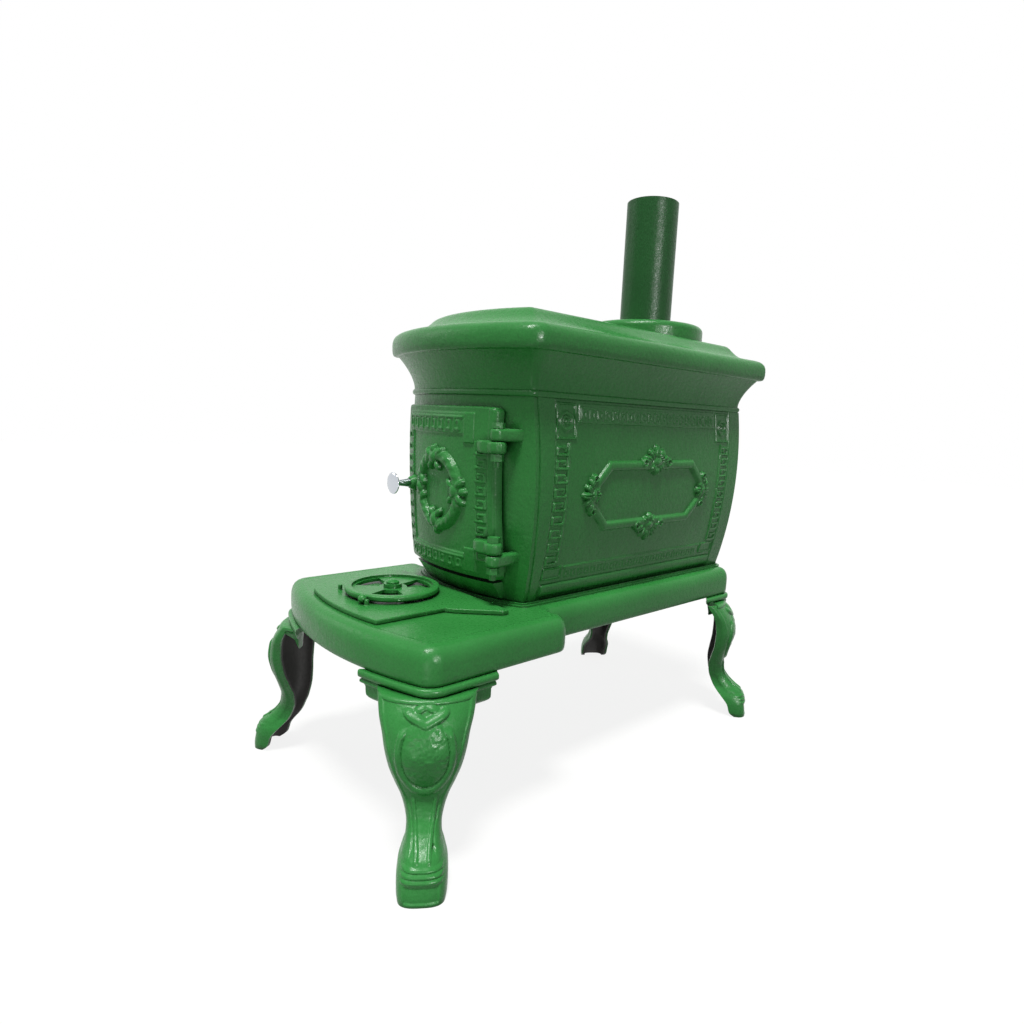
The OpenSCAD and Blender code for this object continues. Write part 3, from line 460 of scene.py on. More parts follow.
# A turned shape: a line of radius and height points carried round an axis that runs forward (-y).
def turned(name, line, origin, body, smoothAngle=35):
    line = np.array(line, float)
    a = np.linspace(0, 2 * np.pi, 72, endpoint=False)
    r, h = line[:, 0][:, None], np.repeat(line[:, 1][:, None], len(a), 1)
    grid = np.stack([r * np.cos(a), -h, r * np.sin(a)], -1) + np.array(origin)
    return ringBody(name, list(grid), smoothAngle=smoothAngle, body=body)


doorPieces = [doorLeaf(), doorLug("doorLugUpper", hingeLook["high"] - hingeLook["lug"] - 0.15),
              doorLug("doorLugLower", hingeLook["low"] + 0.15),
              turned("latchBoss", [[0.01, 4], [9, 4], [13, 5], [13.2, 9], [11.6, 12], [10.6, 16],
                                   [8.6, 18.6], [6, 19.4], [0.01, 19.4]], (-82, -205, 471), "door")]
for piece in doorPieces[1:]:
    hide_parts("fire_door")
enamelPieces += doorPieces
print("door made")

# Legs, in millimetres in a frame of their own: across, outwards from the toe, and up.
legLook = {
    "splay": 35.0, "toes": [(259, -407), (-259, -407), (218, 410), (-218, 410)], "wall": 8.0,
    "rows": 210, "across": 128, "inner": 22, "top": 236.0,
    "capBack": [-133, -133, -101, -101], "capHalf": 93.0, "capPoints": 90,
    "oval": {"half": 30.5, "high": 47.0, "z": 173.0}, "ridges": (30.5, 37, 43.5),
    # height, front, back, half width and squareness of the section, matched to the outline of the
    # photograph's front leg
    "stations": [[0, -1, -24, 29.5, 0.66], [8, 0, -34, 31.5, 0.66], [25, -2.5, -40, 32, 0.66],
                 [37, -5, -49, 31, 0.68], [50, -12, -61, 26.5, 0.7], [60, -25, -69, 22.5, 0.7],
                 [74, -40, -76, 21.5, 0.72], [88, -49, -81, 24, 0.74], [107, -52, -83, 30, 0.76],
                 [127, -49, -80, 38.5, 0.8], [150, -42, -76, 46.5, 0.85], [174, -37, -75, 52, 0.9],
                 [194, -39.5, -77, 55.5, 0.95], [212, -47, -82, 60, 1], [230, -59, -92, 63, 1.1],
                 [245, -70, -101, 65, 1.2]],
    # section of the cap's moulding: depth below the base, inset from its edge, and how far the ends draw
    # in; a fourth number is how far the ring stands out from the leg's face where the face is in front
    "cap": [(0.3, 8, 2), (0.3, -1.5, 1.5), (1.2, -3.4, 0.5), (3, -4.6, 0), (6, -5, 0), (9, -4.4, 0.3),
            (11, -2.6, 1.6), (12.2, -0.6, 3.2), (12.8, -0.9, 3.6, 0.4), (13.6, -2.1, 2.8, 1.7),
            (15.2, -2.9, 2.4, 2.5), (17, -2.7, 2.6, 2.3), (18.4, -1.4, 4.0, 1.0), (19.4, 0.4, 6.4, -1.5),
            (22, 1.0, 8.6, -2.5), (31, 1.0, 9.4), (34.5, 1.4, 10.2), (37.4, 2.8, 12.4), (39.4, 5, 15.6),
            (40, 8, 19), (38.4, 11, 19), (12, 11, 9)],
}


# Smooth curve through the stations: cubic pieces whose slope at a station is flattened at turning points.
def smoothThrough(x, y, at):
    x, y = np.array(x, float), np.array(y, float)
    step, rise = np.diff(x), np.diff(y) / np.diff(x)
    w1, w2 = 2 * step[1:] + step[:-1], step[1:] + 2 * step[:-1]
    same = rise[1:] * rise[:-1] > 0
    mean = (w1 + w2) / (w1 / np.where(same, rise[:-1], 1) + w2 / np.where(same, rise[1:], 1))
    slope = np.concatenate([[rise[0]], np.where(same, mean, 0), [rise[-1]]])
    i = np.clip(np.searchsorted(x, at) - 1, 0, len(step) - 1)
    t = (at - x[i]) / step[i]
    return ((1 + 2 * t) * (1 - t) ** 2 * y[i] + t * (1 - t) ** 2 * step[i] * slope[i]
            + t * t * (3 - 2 * t) * y[i + 1] + t * t * (t - 1) * step[i] * slope[i + 1])


# Ornament of a leg's face, where s runs across it (-1 to 1) and w is the distance from its middle line: the
# highest of the edge bead, oval, rough field, V with its curls, flutes and ridges, less a hole and the
# hoof's panel.
def legRelief(s, w, z, half):
    edge, curl = half - np.abs(w), np.abs(w)
    h = 1.7 * (1 - ramp(edge, 7.5, 9.5)) * (ramp(z, 44, 60) - ramp(z, 232, 240))
    o = legLook["oval"]
    oval = np.hypot(w / o["half"], (z - o["z"]) / o["high"])
    h = np.maximum(h, 3.6 * roundBar((oval - 1) * 34 - 3.6, 4.4) * (1 - ramp(z, 196, 208)))
    rough = 1.6 * (speckle(w, z, 3.4) - 0.5) * speckle(w + 90, z, 13) + 0.5 * speckle(w, z, 7)
    h = np.maximum(h, (2.8 - 1.9 * oval ** 2 + rough) * (1 - ramp(oval, 0.90, 0.98)))
    arm = fromSegment(curl, z, (0, 211), (19, 220.5))
    h = np.maximum(h, 5.0 * roundBar(arm, 6.0))
    h = np.maximum(h, 4.4 * dome(curl, z, 21, 221.5, 7.5, 5.6, 25))
    h = np.maximum(h, 3.4 * dome(curl, z, 7, 227, 9, 4.6, -20))
    flute = curl - 8.0 - 0.12 * np.clip(z - 60, 0, 99)
    h = np.maximum(h, 2.4 * roundBar(flute, 2.8) * (ramp(z, 47, 53) - ramp(z, 106, 118)))
    for level in legLook["ridges"]:
        h = np.maximum(h, 1.5 * roundBar(z - level, 2.6) * bar(curl, 25, 2.5))
    h = h - 4.0 * dome(w, z, -13, 60, 1.9, 2.4) - 1.9 * plate(w, z, -21, 21, 5, 25, 1.4)
    return h * ramp(np.abs(s), 1.0, 0.95)


# Half turn of a leg's section from one side round its front to the other.
def legArc(front, back, half, square, a):
    c, s = np.cos(a), np.clip(np.sin(a), 0, 1)
    return (half * np.sign(c) * np.abs(c) ** square, back + (front - back) * s ** square)


# Front, back, half width and squareness of the leg's section at height z.
def legSection(z):
    st = np.array(legLook["stations"])
    return [smoothThrough(st[:, 0], st[:, i], z) for i in (1, 2, 3, 4)]


# Section arcs of the leg over its height: outer face with relief, middle of the wall and inner face.
def legArcs():
    look = legLook
    z = np.linspace(0, look["top"], look["rows"])
    front, back, half, square = (v[:, None] for v in legSection(z))
    a = np.linspace(0, np.pi, look["across"])[None, :]
    x, y = legArc(front, back, half, square, a)
    zz = np.repeat(z[:, None], x.shape[1], 1)
    dx, dy = np.gradient(x, axis=1), np.gradient(y, axis=1)
    size = np.hypot(dx, dy) + 1e-9
    h = legRelief(np.cos(a) + 0 * x, x, zz, half)
    arcs = [np.stack([x + h * dy / size, y - h * dx / size, zz], -1)]
    for wall in (look["wall"] / 2, look["wall"]):
        b = np.linspace(np.pi, 0, look["inner"])[None, :]
        xi, yi = legArc(front - wall, back, half - wall, square, b)
        arcs.append(np.stack([xi, yi, np.repeat(z[:, None], xi.shape[1], 1)], -1))
    return arcs


# One skin of a leg between two of its arcs, closed at the foot and the head.
def legSkin(name, first, second, index):
    grid = np.concatenate([first, second], 1)
    m, n = grid.shape[:2]
    faces = gridFaces(m, n, closedColumns=True) + endCaps(m, n)
    return facesOut(meshObject(name, onLeg(grid.reshape(-1, 3), index), faces, 50))


# Line of the base's plan near one leg, in the leg's own frame, between the ends of its cap.
def capLine(index, inset, short):
    half = np.concatenate([basePlan(inset), [[0, baseLook["rear"] - inset]]])
    if index % 2:
        half = half * [-1, 1]
    tx, ty = legLook["toes"][index]
    turn = legTurn(index)
    c, s = math.cos(-turn), math.sin(-turn)
    d = half - [tx, ty]
    p = np.stack([c * d[:, 0] - s * d[:, 1], s * d[:, 0] + c * d[:, 1]], -1)
    peak = int(np.argmax(p[:, 1]))
    fine = np.linspace(0, len(p) - 1, 12000)
    q = np.stack([np.interp(fine, np.arange(len(p)), p[:, i]) for i in (0, 1)], -1)
    keep = np.abs(q[:, 0]) < legLook["capHalf"] - short
    keep &= q[:, 1] > legLook["capBack"][index] + short * 0.6
    middle = int(np.argmin(np.abs(fine - peak)))
    lo = middle - int(np.argmin(keep[middle::-1])) + 1
    hi = middle + int(np.argmin(keep[middle:])) - 1
    q = q[lo:hi + 1]
    run = np.concatenate([[0], np.cumsum(np.hypot(*np.diff(q, axis=0).T))])
    at = np.linspace(0, run[-1], legLook["capPoints"])
    return np.stack([np.interp(at, run, q[:, i]) for i in (0, 1)], -1)


# Moulded cap of a leg, carried round the corner of the base; its lower moulding rides over the leg's face.
def legCap(name, index):
    rings = []
    for depth, inset, short, *over in legLook["cap"]:
        line = capLine(index, inset, short)
        z = heights["base"] - depth
        if over:
            level = np.array([min(z, legLook["top"])])
            front, back, half, square = (float(v[0]) for v in legSection(level))
            c = np.clip(np.abs(line[:, 0]) / half, 0, 1) ** (1 / square)
            face = back + (front - back) * np.sqrt(1 - c * c) ** square + over[0]
            line[:, 1] = np.where(c < 1, np.maximum(line[:, 1], face), line[:, 1])
        rings.append(np.column_stack([line, np.full(len(line), z)]))
    rings = np.stack(rings, 1)
    rings = onLeg(rings.reshape(-1, 3), index).reshape(rings.shape)
    return ringBody(name, list(rings), smoothAngle=45)


# Flat lug in the top of a leg that its bolt goes up through.
def legLug(name, index):
    line = capLine(index, 4, 3)
    return ringBody(name, [onLeg(np.column_stack([line, np.full(len(line), z)]), index)
                           for z in (heights["base"] - 10, heights["base"] - 0.1)])


# Turn of a leg about the vertical, so that its front faces its own corner at the splay angle.
def legTurn(index):
    tx, ty = legLook["toes"][index]
    splay = math.radians(legLook["splay"])
    facing = math.atan2(math.copysign(math.sin(splay), ty), math.copysign(math.cos(splay), tx))
    return facing - math.pi / 2


# Turns points from a leg's own frame (+y outwards) to its place under the stove.
def onLeg(points, index):
    tx, ty = legLook["toes"][index]
    c, s = math.cos(legTurn(index)), math.sin(legTurn(index))
    p = np.asarray(points, float)
    return np.column_stack([tx + c * p[:, 0] - s * p[:, 1], ty + s * p[:, 0] + c * p[:, 1], p[:, 2]])


# Arc of points about (cx, cy) from angle a0 to a1 in degrees.
def arc(cx, cy, r, a0, a1, n):
    a = np.radians(np.linspace(a0, a1, n + 1))
    return np.stack([cx + r * np.cos(a), cy + r * np.sin(a)], -1)


# Right half of a bowed front edge: from the middle round its corner to the side.
def bowedFront(w, bc, r, rc, n):
    cy = bc - math.sqrt((r - rc) ** 2 - (w - rc) ** 2)
    phi = math.degrees(math.atan2(cy - bc, w - rc))
    return np.concatenate([arc(0, bc, r, -90, phi, n), arc(w - rc, cy, rc, phi, 0, 14)[1:]])


# Right half of a box's plan: a bowed front, a straight side and a round rear corner, to the middle line.
def boxPlan(w, bc, r, rc, rear, rb):
    half = np.concatenate([bowedFront(w, bc, r, rc, 60), arc(w - rb, rear - rb, rb, 0, 90, 14)])
    return np.concatenate([half, [[0, rear]]])


baseLook = {"halfWide": 213.0, "front": 413.0, "bow": 540.0, "step": -124.0, "half": 166.0, "rear": 396.0,
            "hearthRound": 30.0, "baseRound": 22.0, "notchRound": 8.0, "count": 900}


# Right half of the base's T-shaped plan, drawn in by d.
def basePlan(d):
    b = baseLook
    return np.concatenate([
        bowedFront(b["halfWide"] - d, b["bow"] - b["front"], b["bow"] - d, b["hearthRound"] - d, 60),
        arc(b["halfWide"] - b["baseRound"], b["step"] - b["baseRound"], b["baseRound"] - d, 0, 90, 14),
        arc(b["half"] + b["notchRound"], b["step"] + b["notchRound"], b["notchRound"] + d, 270, 180, 12),
        arc(b["half"] - b["baseRound"], b["rear"] - b["baseRound"], b["baseRound"] - d, 0, 90, 14)])


# Rings of one plan at many insets keep the same point in the same direction by sharing one spacing.
def sharedRings(planOf, insets, levels, count):
    halves = [planOf(d) for d in insets]
    line = halves[len(halves) // 2]
    run = np.concatenate([[0], np.cumsum(np.hypot(*np.diff(line, axis=0).T))])
    at = np.linspace(0, run[-1], count // 2)
    rings = []
    for half, z in zip(halves, levels):
        p = np.stack([np.interp(at, run, half[:, 0]), np.interp(at, run, half[:, 1])], -1)
        whole = np.concatenate([p, p[::-1] * [-1, 1]])
        rings.append(np.column_stack([whole, np.full(len(whole), z)]))
    return rings


# Moulded edge of the base: a soft nose round the hearth and the firebox's foot, as a closed band.
def baseMoulding():
    top = heights["deck"]
    profile = [(9, top - 6), (2.8, 249.0), (1.2, 250.5), (0.2, 254), (-0.3, 260), (-0.35, 268), (-0.3, 276),
               (0.0, 281), (0.9, 286), (2.6, 291), (5.4, 295.4), (9, 298.6), (13, 300.4), (17.5, 301.15),
               (22, 301.1), (26, top - 1.5)]
    rings = sharedRings(basePlan, [p[0] for p in profile], [p[1] for p in profile], baseLook["count"])
    return ringBody("baseMoulding", rings, loop=True, smoothAngle=45)


corniceLook = {"half": 155.0, "rear": 382.0, "round": 10.0, "rearRound": 8.0, "flare": 28.0,
               "rearShare": 0.75, "count": 700}


# Right half of the cornice's plan, drawn out by d; its rear grows by a share of that.
def cornicePlan(d):
    c = corniceLook
    return boxPlan(c["half"] + d, bowLook["centre"], bowLook["head"] + d, c["round"] + d * 0.7,
                   c["rear"] + d * c["rearShare"], c["rearRound"] + d * 0.2)


# Cornice: a bead at its foot and a cove that flares out to the cook top, open inside.
def cornice():
    z0 = heights["deck"] + heights["walls"]
    bead = [(1, 0), (2.6, 0.4), (4.2, 2), (4.9, 4.6), (4.4, 7.4), (2.8, 9.4), (1.6, 10)]
    cove = [(1.5 + corniceLook["flare"] * t ** 1.7, 10 + 53 * t) for t in np.linspace(0.06, 1, 16)]
    inner = [(corniceLook["flare"] - 10, 63), (4, 40), (-6, 20), (-8, 0)]
    profile = bead + cove + inner
    rings = sharedRings(cornicePlan, [p[0] for p in profile], [z0 + p[1] for p in profile],
                        corniceLook["count"])
    obj = ringBody("corniceCove", rings, loop=True, smoothAngle=45)
    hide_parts("cornice")
    return obj


topLook = {"half": 192.0, "front": 246.0, "bow": 400.0, "rear": 414.0, "flue": 263.0, "hole": 45.0,
           "round": 34.0, "rearRound": 8.0, "count": 700}


# Right half of the cook top's plan, drawn in at the front and sides, and at the rear.
def topPlan(side, rear):
    t = topLook
    return boxPlan(t["half"] - side, t["bow"] - t["front"], t["bow"] - side,
                   max(t["round"] - side * 0.4, 6), t["rear"] - rear, t["rearRound"] + rear * 0.3)


# Cook top: rolled rim, ogee rise and flat panel, hollow beneath and open at the flue.
def cookTop():
    edge = [(5, 5, 0), (2.4, 2.4, 1.4), (0.8, 0.8, 5), (0.1, 0.1, 11), (0, 0, 18), (0.5, 0.4, 24),
            (2.2, 1.9, 29.5), (5.2, 4.4, 33.6), (9, 8, 36.4), (13.5, 12.2, 38.1), (20, 16.4, 39.2),
            (28, 20.4, 40.4), (36, 21.6, 42), (44, 22.4, 44.6), (51, 23, 48.6), (57, 23.6, 53.4),
            (62, 24.2, 58), (66, 24.9, 62), (70, 25.8, 65), (73.5, 27, 66.7), (78, 30, 67)]
    under = [(80, 35, 59), (42, 28, 30), (14, 12, 26), (14, 12, 0)]
    profile = edge + under
    rings = []
    for side, rear, z in profile:
        half = topPlan(side, rear)
        run = np.concatenate([[0], np.cumsum(np.hypot(*np.diff(half, axis=0).T))])
        at = run[-1] * np.linspace(0, 1, topLook["count"] // 2)
        p = np.stack([np.interp(at, run, half[:, 0]), np.interp(at, run, half[:, 1])], -1)
        rings.append(np.column_stack([np.concatenate([p, p[::-1] * [-1, 1]]),
                                      np.full(topLook["count"] // 2 * 2, plateZ + z)]))
    last = len(edge)
    flat = rings[last - 1][:, :2] - [0, topLook["flue"]]
    a = np.arctan2(flat[:, 1], flat[:, 0])
    hole = np.stack([np.cos(a), np.sin(a)], -1) * topLook["hole"] + [0, topLook["flue"]]
    rings.insert(last, np.column_stack([hole, np.full(len(hole), panelZ)]))
    rings.insert(last + 1, np.column_stack([hole, np.full(len(hole), panelZ - 8)]))
    obj = ringBody("cookTopPlate", rings, loop=True, smoothAngle=45)
    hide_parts("cook_top")
    return obj


enamelPieces += [baseMoulding(), cornice(), cookTop()]
print("base, cornice and cook top made")

legNodes = ["leg_front_right", "leg_front_left", "leg_rear_right", "leg_rear_left"]
bareIronPieces = []
face, middle, inside = legArcs()
for index, node in enumerate(legNodes):
    word = node[4:].title().replace("_", "")
    pieces = [legSkin("legFace" + word, face, middle, index), legCap("legCap" + word, index),
              legLug("legLug" + word, index), legSkin("legChannel" + word, middle[:, ::-1], inside, index)]
    for piece in pieces:
        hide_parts(node)
    enamelPieces += pieces[:3]
    bareIronPieces.append(pieces[3])
print("legs made")

# Castings that keep the CAD's shape, with softened edges.
lugRounds = ((112, -240, 350), (176, -150, 590), 4.4)  # a box round the fixed hinge lugs, and a radius
# name, node, body, width of the softened edges, whether they are kept from overlapping, and rounds
for casting in (("frontPlate", "front_plate", "stove", 1.4, True, lugRounds),
                ("backPlate", "back_plate", "stove", 1.2, False, None),
                ("flueCollar", "flue_collar", "stove", 1.2, False, None),
                ("hearthLid", "hearth_lid", "lid", 1.4, False, None),
                ("draftDisc", "draft_disc", "draft", 1.0, True, None)):
    enamelPieces.append(castCopy(*casting))

# Chrome knob: a stem that tapers out from the boss, and a thin domed disc.
knob = turned("latchKnob", [[0.01, 0.2], [7.4, 0.2], [7.3, 1.5], [6.6, 6], [5.7, 12], [4.9, 18], [4.5, 22],
                            [4.8, 24.4], [6.2, 26], [9.5, 26.8], [14, 27.4], [16.6, 28.2], [17.7, 29.3],
                            [17.9, 30.2], [17.3, 31], [14.5, 31.8], [10, 32.4], [5, 32.8], [0.01, 32.9]],
              (-82, -224.0, 471), "latch", smoothAngle=50)
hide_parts("latch_knob")


# sRGB hex to the linear colour that the shaders take.
def linearColour(hexText):
    s = np.array([int(hexText[i:i + 2], 16) / 255 for i in (1, 3, 5)])
    return [*np.where(s <= 0.04045, s / 12.92, ((s + 0.055) / 1.055) ** 2.4).tolist(), 1.0]


# Adds one shader node, sets its settings and sockets, and links other nodes' outputs to it.
def addNode(tree, kind, settings=None, inputs=None, links=None):
    node = tree.nodes.new(kind)
    for key, value in (settings or {}).items():
        setattr(node, key, value)
    for key, value in (inputs or {}).items():
        node.inputs[key].default_value = value
    for key, source in (links or {}).items():
        tree.links.new(source, node.inputs[key])
    return node


# A new material with its node tree, its shader and the place in the piece's own metres.
def newMaterial(name):
    material = bpy.data.materials.new(name)
    material.use_nodes = True
    tree = material.node_tree
    shader = tree.nodes["Principled BSDF"]
    place = addNode(tree, "ShaderNodeTexCoord").outputs["Object"]
    return material, tree, shader, place


enamelLook = {
    # the first colour is the dark green of the painted shade in hollows and between parts
    "paintedShadeColour": "#0b2a10", "body": "#31863c", "light": "#3a9245", "roughness": (0.20, 0.40), "gloss": 0.20,
    # how many of each in a metre: clouds of tint 111 mm across, sand grain of 3.8 mm, brush grit of 0.9 mm,
    # pinholes 4.8 mm apart and lumps of 8.3 mm; sand and grit are coarser than real, so that they show
    "cloud": 9.0, "cast": 260.0, "grit": 1100.0, "pits": 210.0, "lumps": 120.0,
    # strength and depth in metres of each bump
    "skin": (0.30, 0.0006), "waves": (0.38, 0.0018), "fine": (0.16, 0.0002), "pitted": (0.22, 0.0004),
    "paintedHollowShade": 0.02,  # reach in metres of the painted shade that darkens hollows and gaps between parts
}


# Brushed and sprayed stove enamel on sand-cast iron: satin gloss, pitted skin, and painted shade that
# darkens its hollows.
def brushedEnamel(name, look):
    material, tree, shader, place = newMaterial(name)
    cloud = addNode(tree, "ShaderNodeTexNoise", None, {"Scale": look["cloud"], "Detail": 3.0},
                    {"Vector": place})
    cast = addNode(tree, "ShaderNodeTexNoise", None, {"Scale": look["cast"], "Detail": 3.0,
                   "Roughness": 0.6}, {"Vector": place})
    grit = addNode(tree, "ShaderNodeTexNoise", None, {"Scale": look["grit"], "Detail": 2.0},
                   {"Vector": place})
    pits = addNode(tree, "ShaderNodeTexVoronoi", None, {"Scale": look["pits"]}, {"Vector": place})
    pitDepth = addNode(tree, "ShaderNodeMapRange", None, {"From Min": 0.0, "From Max": 0.16, "To Min": 0.0,
                       "To Max": 1.0}, {"Value": pits.outputs["Distance"]})
    tint = addNode(tree, "ShaderNodeValToRGB", None, None, {"Fac": cloud.outputs["Fac"]})
    tint.color_ramp.elements[0].position, tint.color_ramp.elements[1].position = 0.3, 0.72
    tint.color_ramp.elements[0].color = linearColour(look["body"])
    tint.color_ramp.elements[1].color = linearColour(look["light"])
    # painted shade: ambient occlusion darkens the colour towards the dark shade green in hollows, creases
    # and gaps between parts
    paintedHollowShade = addNode(tree, "ShaderNodeAmbientOcclusion", {"samples": 8}, {"Distance": look["paintedHollowShade"]})
    shade = addNode(tree, "ShaderNodeMapRange", None, {"From Min": 0.15, "From Max": 0.8},
                    {"Value": paintedHollowShade.outputs["AO"]})
    colour = addNode(tree, "ShaderNodeMix", {"data_type": "RGBA"}, {6: linearColour(look["paintedShadeColour"])},
                     {0: shade.outputs["Result"], 7: tint.outputs["Color"]})
    tree.links.new(colour.outputs[2], shader.inputs["Base Color"])
    rough = addNode(tree, "ShaderNodeMapRange", None, {"From Min": 0.3, "From Max": 0.7,
                    "To Min": look["roughness"][0], "To Max": look["roughness"][1]},
                    {"Value": cast.outputs["Fac"]})
    tree.links.new(rough.outputs["Result"], shader.inputs["Roughness"])
    shader.inputs["Specular IOR Level"].default_value = look["gloss"]
    lumps = addNode(tree, "ShaderNodeTexNoise", None, {"Scale": look["lumps"], "Detail": 3.0},
                    {"Vector": place})
    normal = None
    for layer, height in (("skin", cast.outputs["Fac"]), ("waves", lumps.outputs["Fac"]),
                          ("fine", grit.outputs["Fac"]), ("pitted", pitDepth.outputs["Result"])):
        strength, depth = look[layer]
        links = {"Height": height, "Normal": normal} if normal else {"Height": height}
        bump = addNode(tree, "ShaderNodeBump", None, {"Strength": strength, "Distance": depth}, links)
        normal = bump.outputs["Normal"]
    tree.links.new(normal, shader.inputs["Normal"])
    return material


# A metal or bare iron whose polish and skin vary with noise, of which so many lumps go in a metre.
def plainMetal(name, colour, metallic, roughness, perMetre, strength):
    material, tree, shader, place = newMaterial(name)
    noise = addNode(tree, "ShaderNodeTexNoise", None, {"Scale": perMetre, "Detail": 4.0},
                    {"Vector": place})
    rough = addNode(tree, "ShaderNodeMapRange", None, {"To Min": roughness[0], "To Max": roughness[1]},
                    {"Value": noise.outputs["Fac"]})
    bump = addNode(tree, "ShaderNodeBump", None, {"Strength": strength, "Distance": 0.0003},
                   {"Height": noise.outputs["Fac"]})
    shader.inputs["Base Color"].default_value = linearColour(colour)
    shader.inputs["Metallic"].default_value = metallic
    tree.links.new(rough.outputs["Result"], shader.inputs["Roughness"])
    tree.links.new(bump.outputs["Normal"], shader.inputs["Normal"])
    return material


enamel = brushedEnamel("brushedEnamel", enamelLook)
# the same enamel on rolled sheet: without the sand's coarse grain, and darker as painted shade on the
# upright pipe
shadedPipeEnamel = brushedEnamel("shadedPipeEnamel", {**enamelLook, "body": "#205a2a", "light": "#286832",
                                          "roughness": (0.26, 0.48), "cast": 420.0, "gloss": 0.17})
# dull fasteners with a skin of 3.3 mm, bare soot-black iron with one of 4.5 mm, and plated chrome that
# mirrors the room with wear of 17 mm
oxidisedSteel = plainMetal("oxidisedSteel", "#6b675f", 1.0, (0.4, 0.65), 300.0, 0.2)
sootyIron = plainMetal("sootyIron", "#2a2826", 0.2, (0.6, 0.85), 220.0, 0.5)
polishedChrome = plainMetal("polishedChrome", "#c9ced4", 1.0, (0.05, 0.14), 60.0, 0.04)
slotLooks = {"green_enamel": enamel, "pipe_enamel": shadedPipeEnamel, "painted_fasteners": enamel,
             "steel_fasteners": oxidisedSteel, "raw_iron": sootyIron, "chrome_knob": polishedChrome}
slotOf = {s["node"]: s["material_slot"] for s in frame["record"]["subparts"]}
for nodeName, nodeObject in frame["nodes"].items():
    nodeObject.data.materials.clear()
    nodeObject.data.materials.append(slotLooks[slotOf[nodeName]])
for pieces, material, slotName in ((enamelPieces, enamel, "green_enamel"),
                                   (bareIronPieces, sootyIron, "raw_iron"),
                                   ([knob], polishedChrome, "chrome_knob")):
    for piece in pieces:
        piece.data.materials.clear()
        piece.data.materials.append(material)
print("materials made")

# Floor, light and camera; directions point from the object to the lamp.
studio = {
    "floorHalf": 9.0, "floorColour": "#6e6e6c", "floorLift": 0.86, "worldLight": 0.20,
    "key": ((0.20, -0.24, 0.95), 2.7, 12.0), "fill": ((-0.75, -0.55, 0.38), 0.25, 25.0),
    "glint": ((0.96, -0.21, 0.19), 2.4, 7.0), "gleam": ((0.11, -0.53, 0.83), 2.6, 7.0),
    "card": {"at": (0.62, -0.95, 0.06), "towards": (0.24, -0.36, 0.14), "size": 0.3, "power": 1.35},
}


# A flat floor of plain grey; to the camera and in reflections it is lifted to white outside the shadow.
def paleFloor():
    h = studio["floorHalf"] * 1000
    corners = [[-h, -h, 0], [h, -h, 0], [h, h, 0], [-h, h, 0]]
    floor = meshObject("floor", corners, [[0, 1, 2, 3]], stage=True)
    material, tree, shader = newMaterial("paleFloor")[:3]
    shader.inputs["Base Color"].default_value = linearColour(studio["floorColour"])
    shader.inputs["Roughness"].default_value = 1.0
    shader.inputs["Specular IOR Level"].default_value = 0.0
    shader.inputs["Emission Color"].default_value = (1, 1, 1, 1)
    lift = addNode(tree, "ShaderNodeMath", {"operation": "MULTIPLY"}, {1: studio["floorLift"]},
                   {0: seenRays(tree)})
    tree.links.new(lift.outputs[0], shader.inputs["Emission Strength"])
    floor.data.materials.append(material)


# 1 for rays that the camera sends out and for those that reflections and glass pass on, else 0.
def seenRays(tree):
    path = addNode(tree, "ShaderNodeLightPath")
    first = addNode(tree, "ShaderNodeMath", {"operation": "MAXIMUM"}, None,
                    {0: path.outputs["Is Camera Ray"], 1: path.outputs["Is Glossy Ray"]})
    return addNode(tree, "ShaderNodeMath", {"operation": "MAXIMUM"}, None,
                   {0: first.outputs[0], 1: path.outputs["Is Transmission Ray"]}).outputs[0]


# A soft distant lamp that shines from the given direction.
def distantLamp(name, towards, power, angle):
    light = bpy.data.lights.new(name, "SUN")
    light.energy, light.angle = power, math.radians(angle)
    obj = bpy.data.objects.new(name, light)
    bpy.context.scene.collection.objects.link(obj)
    obj.rotation_euler = (-Vector(towards)).to_track_quat("-Z", "Y").to_euler()
    return obj


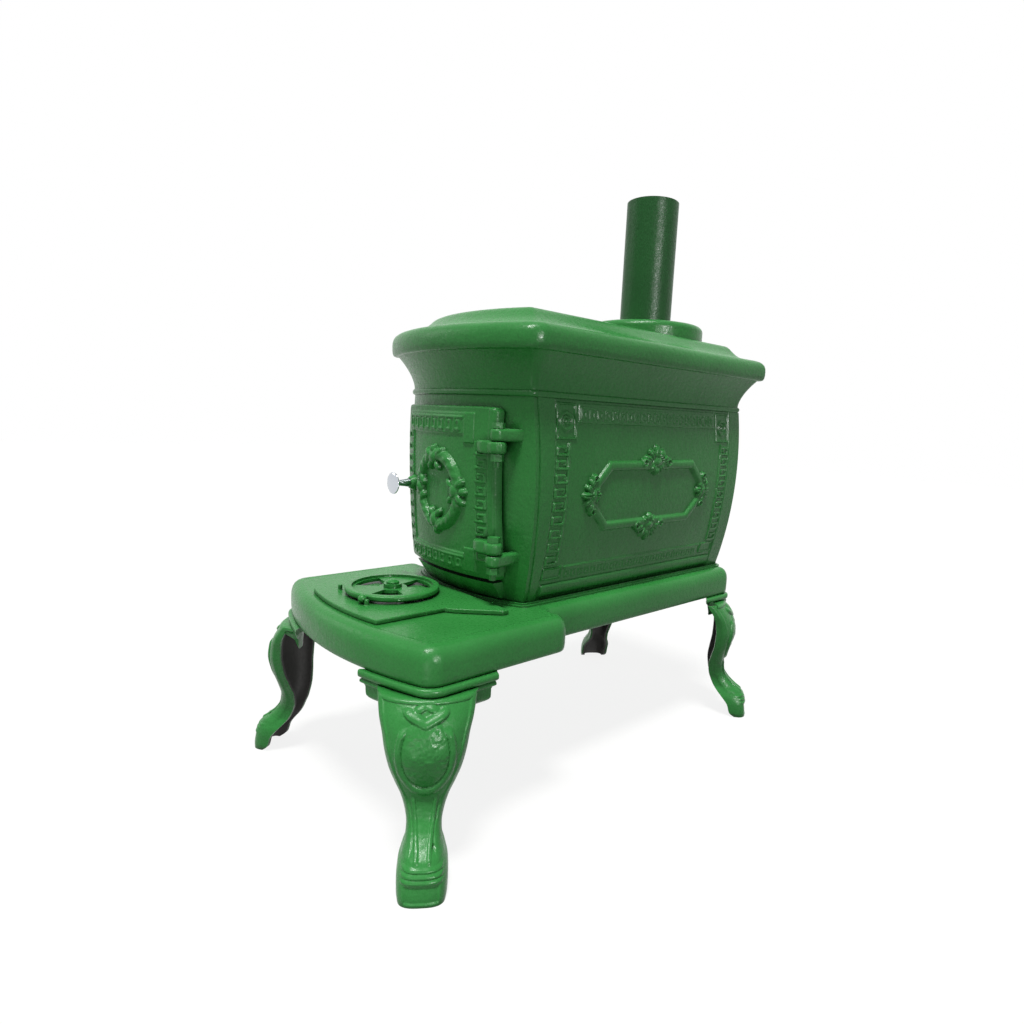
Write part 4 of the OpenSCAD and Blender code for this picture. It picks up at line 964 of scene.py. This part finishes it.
# A square card of light low beside the camera, that lifts the legs and the edge of the hearth.
def bounceCard():
    look = studio["card"]
    light = bpy.data.lights.new("card", "AREA")
    light.energy, light.size = look["power"], look["size"]
    obj = bpy.data.objects.new("card", light)
    bpy.context.scene.collection.objects.link(obj)
    obj.location = look["at"]
    obj.rotation_euler = (Vector(look["towards"]) - Vector(look["at"])).to_track_quat("-Z", "Y").to_euler()


# place in metres; turns are yaw, pitch and roll in degrees
cameraLook = {"place": (0.8513, -0.8019, 0.5882), "turns": (46.919, 8.246, 2.8295),
              "sensor": 36.0, "lens": 22.91, "shift": -0.0249}


# The photograph's camera: place, direction and tilt found from the stove's own edges.
def photoCamera():
    data = bpy.data.cameras.new("camera")
    data.sensor_width, data.lens = cameraLook["sensor"], cameraLook["lens"]
    data.shift_x = cameraLook["shift"]
    data.clip_end = 50.0
    cam = bpy.data.objects.new("camera", data)
    bpy.context.scene.collection.objects.link(cam)
    yaw, pitch, roll = (math.radians(a) for a in cameraLook["turns"])
    forward = Vector((-math.sin(yaw) * math.cos(pitch), math.cos(yaw) * math.cos(pitch), -math.sin(pitch)))
    right = Vector((math.cos(yaw), math.sin(yaw), 0))
    up = right.cross(forward)
    right, up = (math.cos(roll) * right + math.sin(roll) * up,
                 -math.sin(roll) * right + math.cos(roll) * up)
    turn = Matrix((right, up, -forward)).transposed().to_4x4()
    cam.matrix_world = Matrix.Translation(cameraLook["place"]) @ turn
    bpy.context.scene.camera = cam


paleFloor()
world = bpy.data.worlds.new("studio")
bpy.context.scene.world = world
world.use_nodes = True
worldTree = world.node_tree
strength = addNode(worldTree, "ShaderNodeMix", {"data_type": "FLOAT"}, {2: studio["worldLight"], 3: 1.0},
                   {0: seenRays(worldTree)})
backdrop = worldTree.nodes["Background"]
backdrop.inputs["Color"].default_value = (1, 1, 1, 1)
worldTree.links.new(strength.outputs[0], backdrop.inputs["Strength"])
for name in ("key", "fill"):
    distantLamp(name, *studio[name])
# the glint and the gleam are seen in the gloss of the enamel and add nothing to the plain light
for name in ("glint", "gleam"):
    distantLamp(name, *studio[name]).visible_diffuse = False
bounceCard()
photoCamera()
bpy.context.scene.view_settings.view_transform = "Standard"
print("stage set")
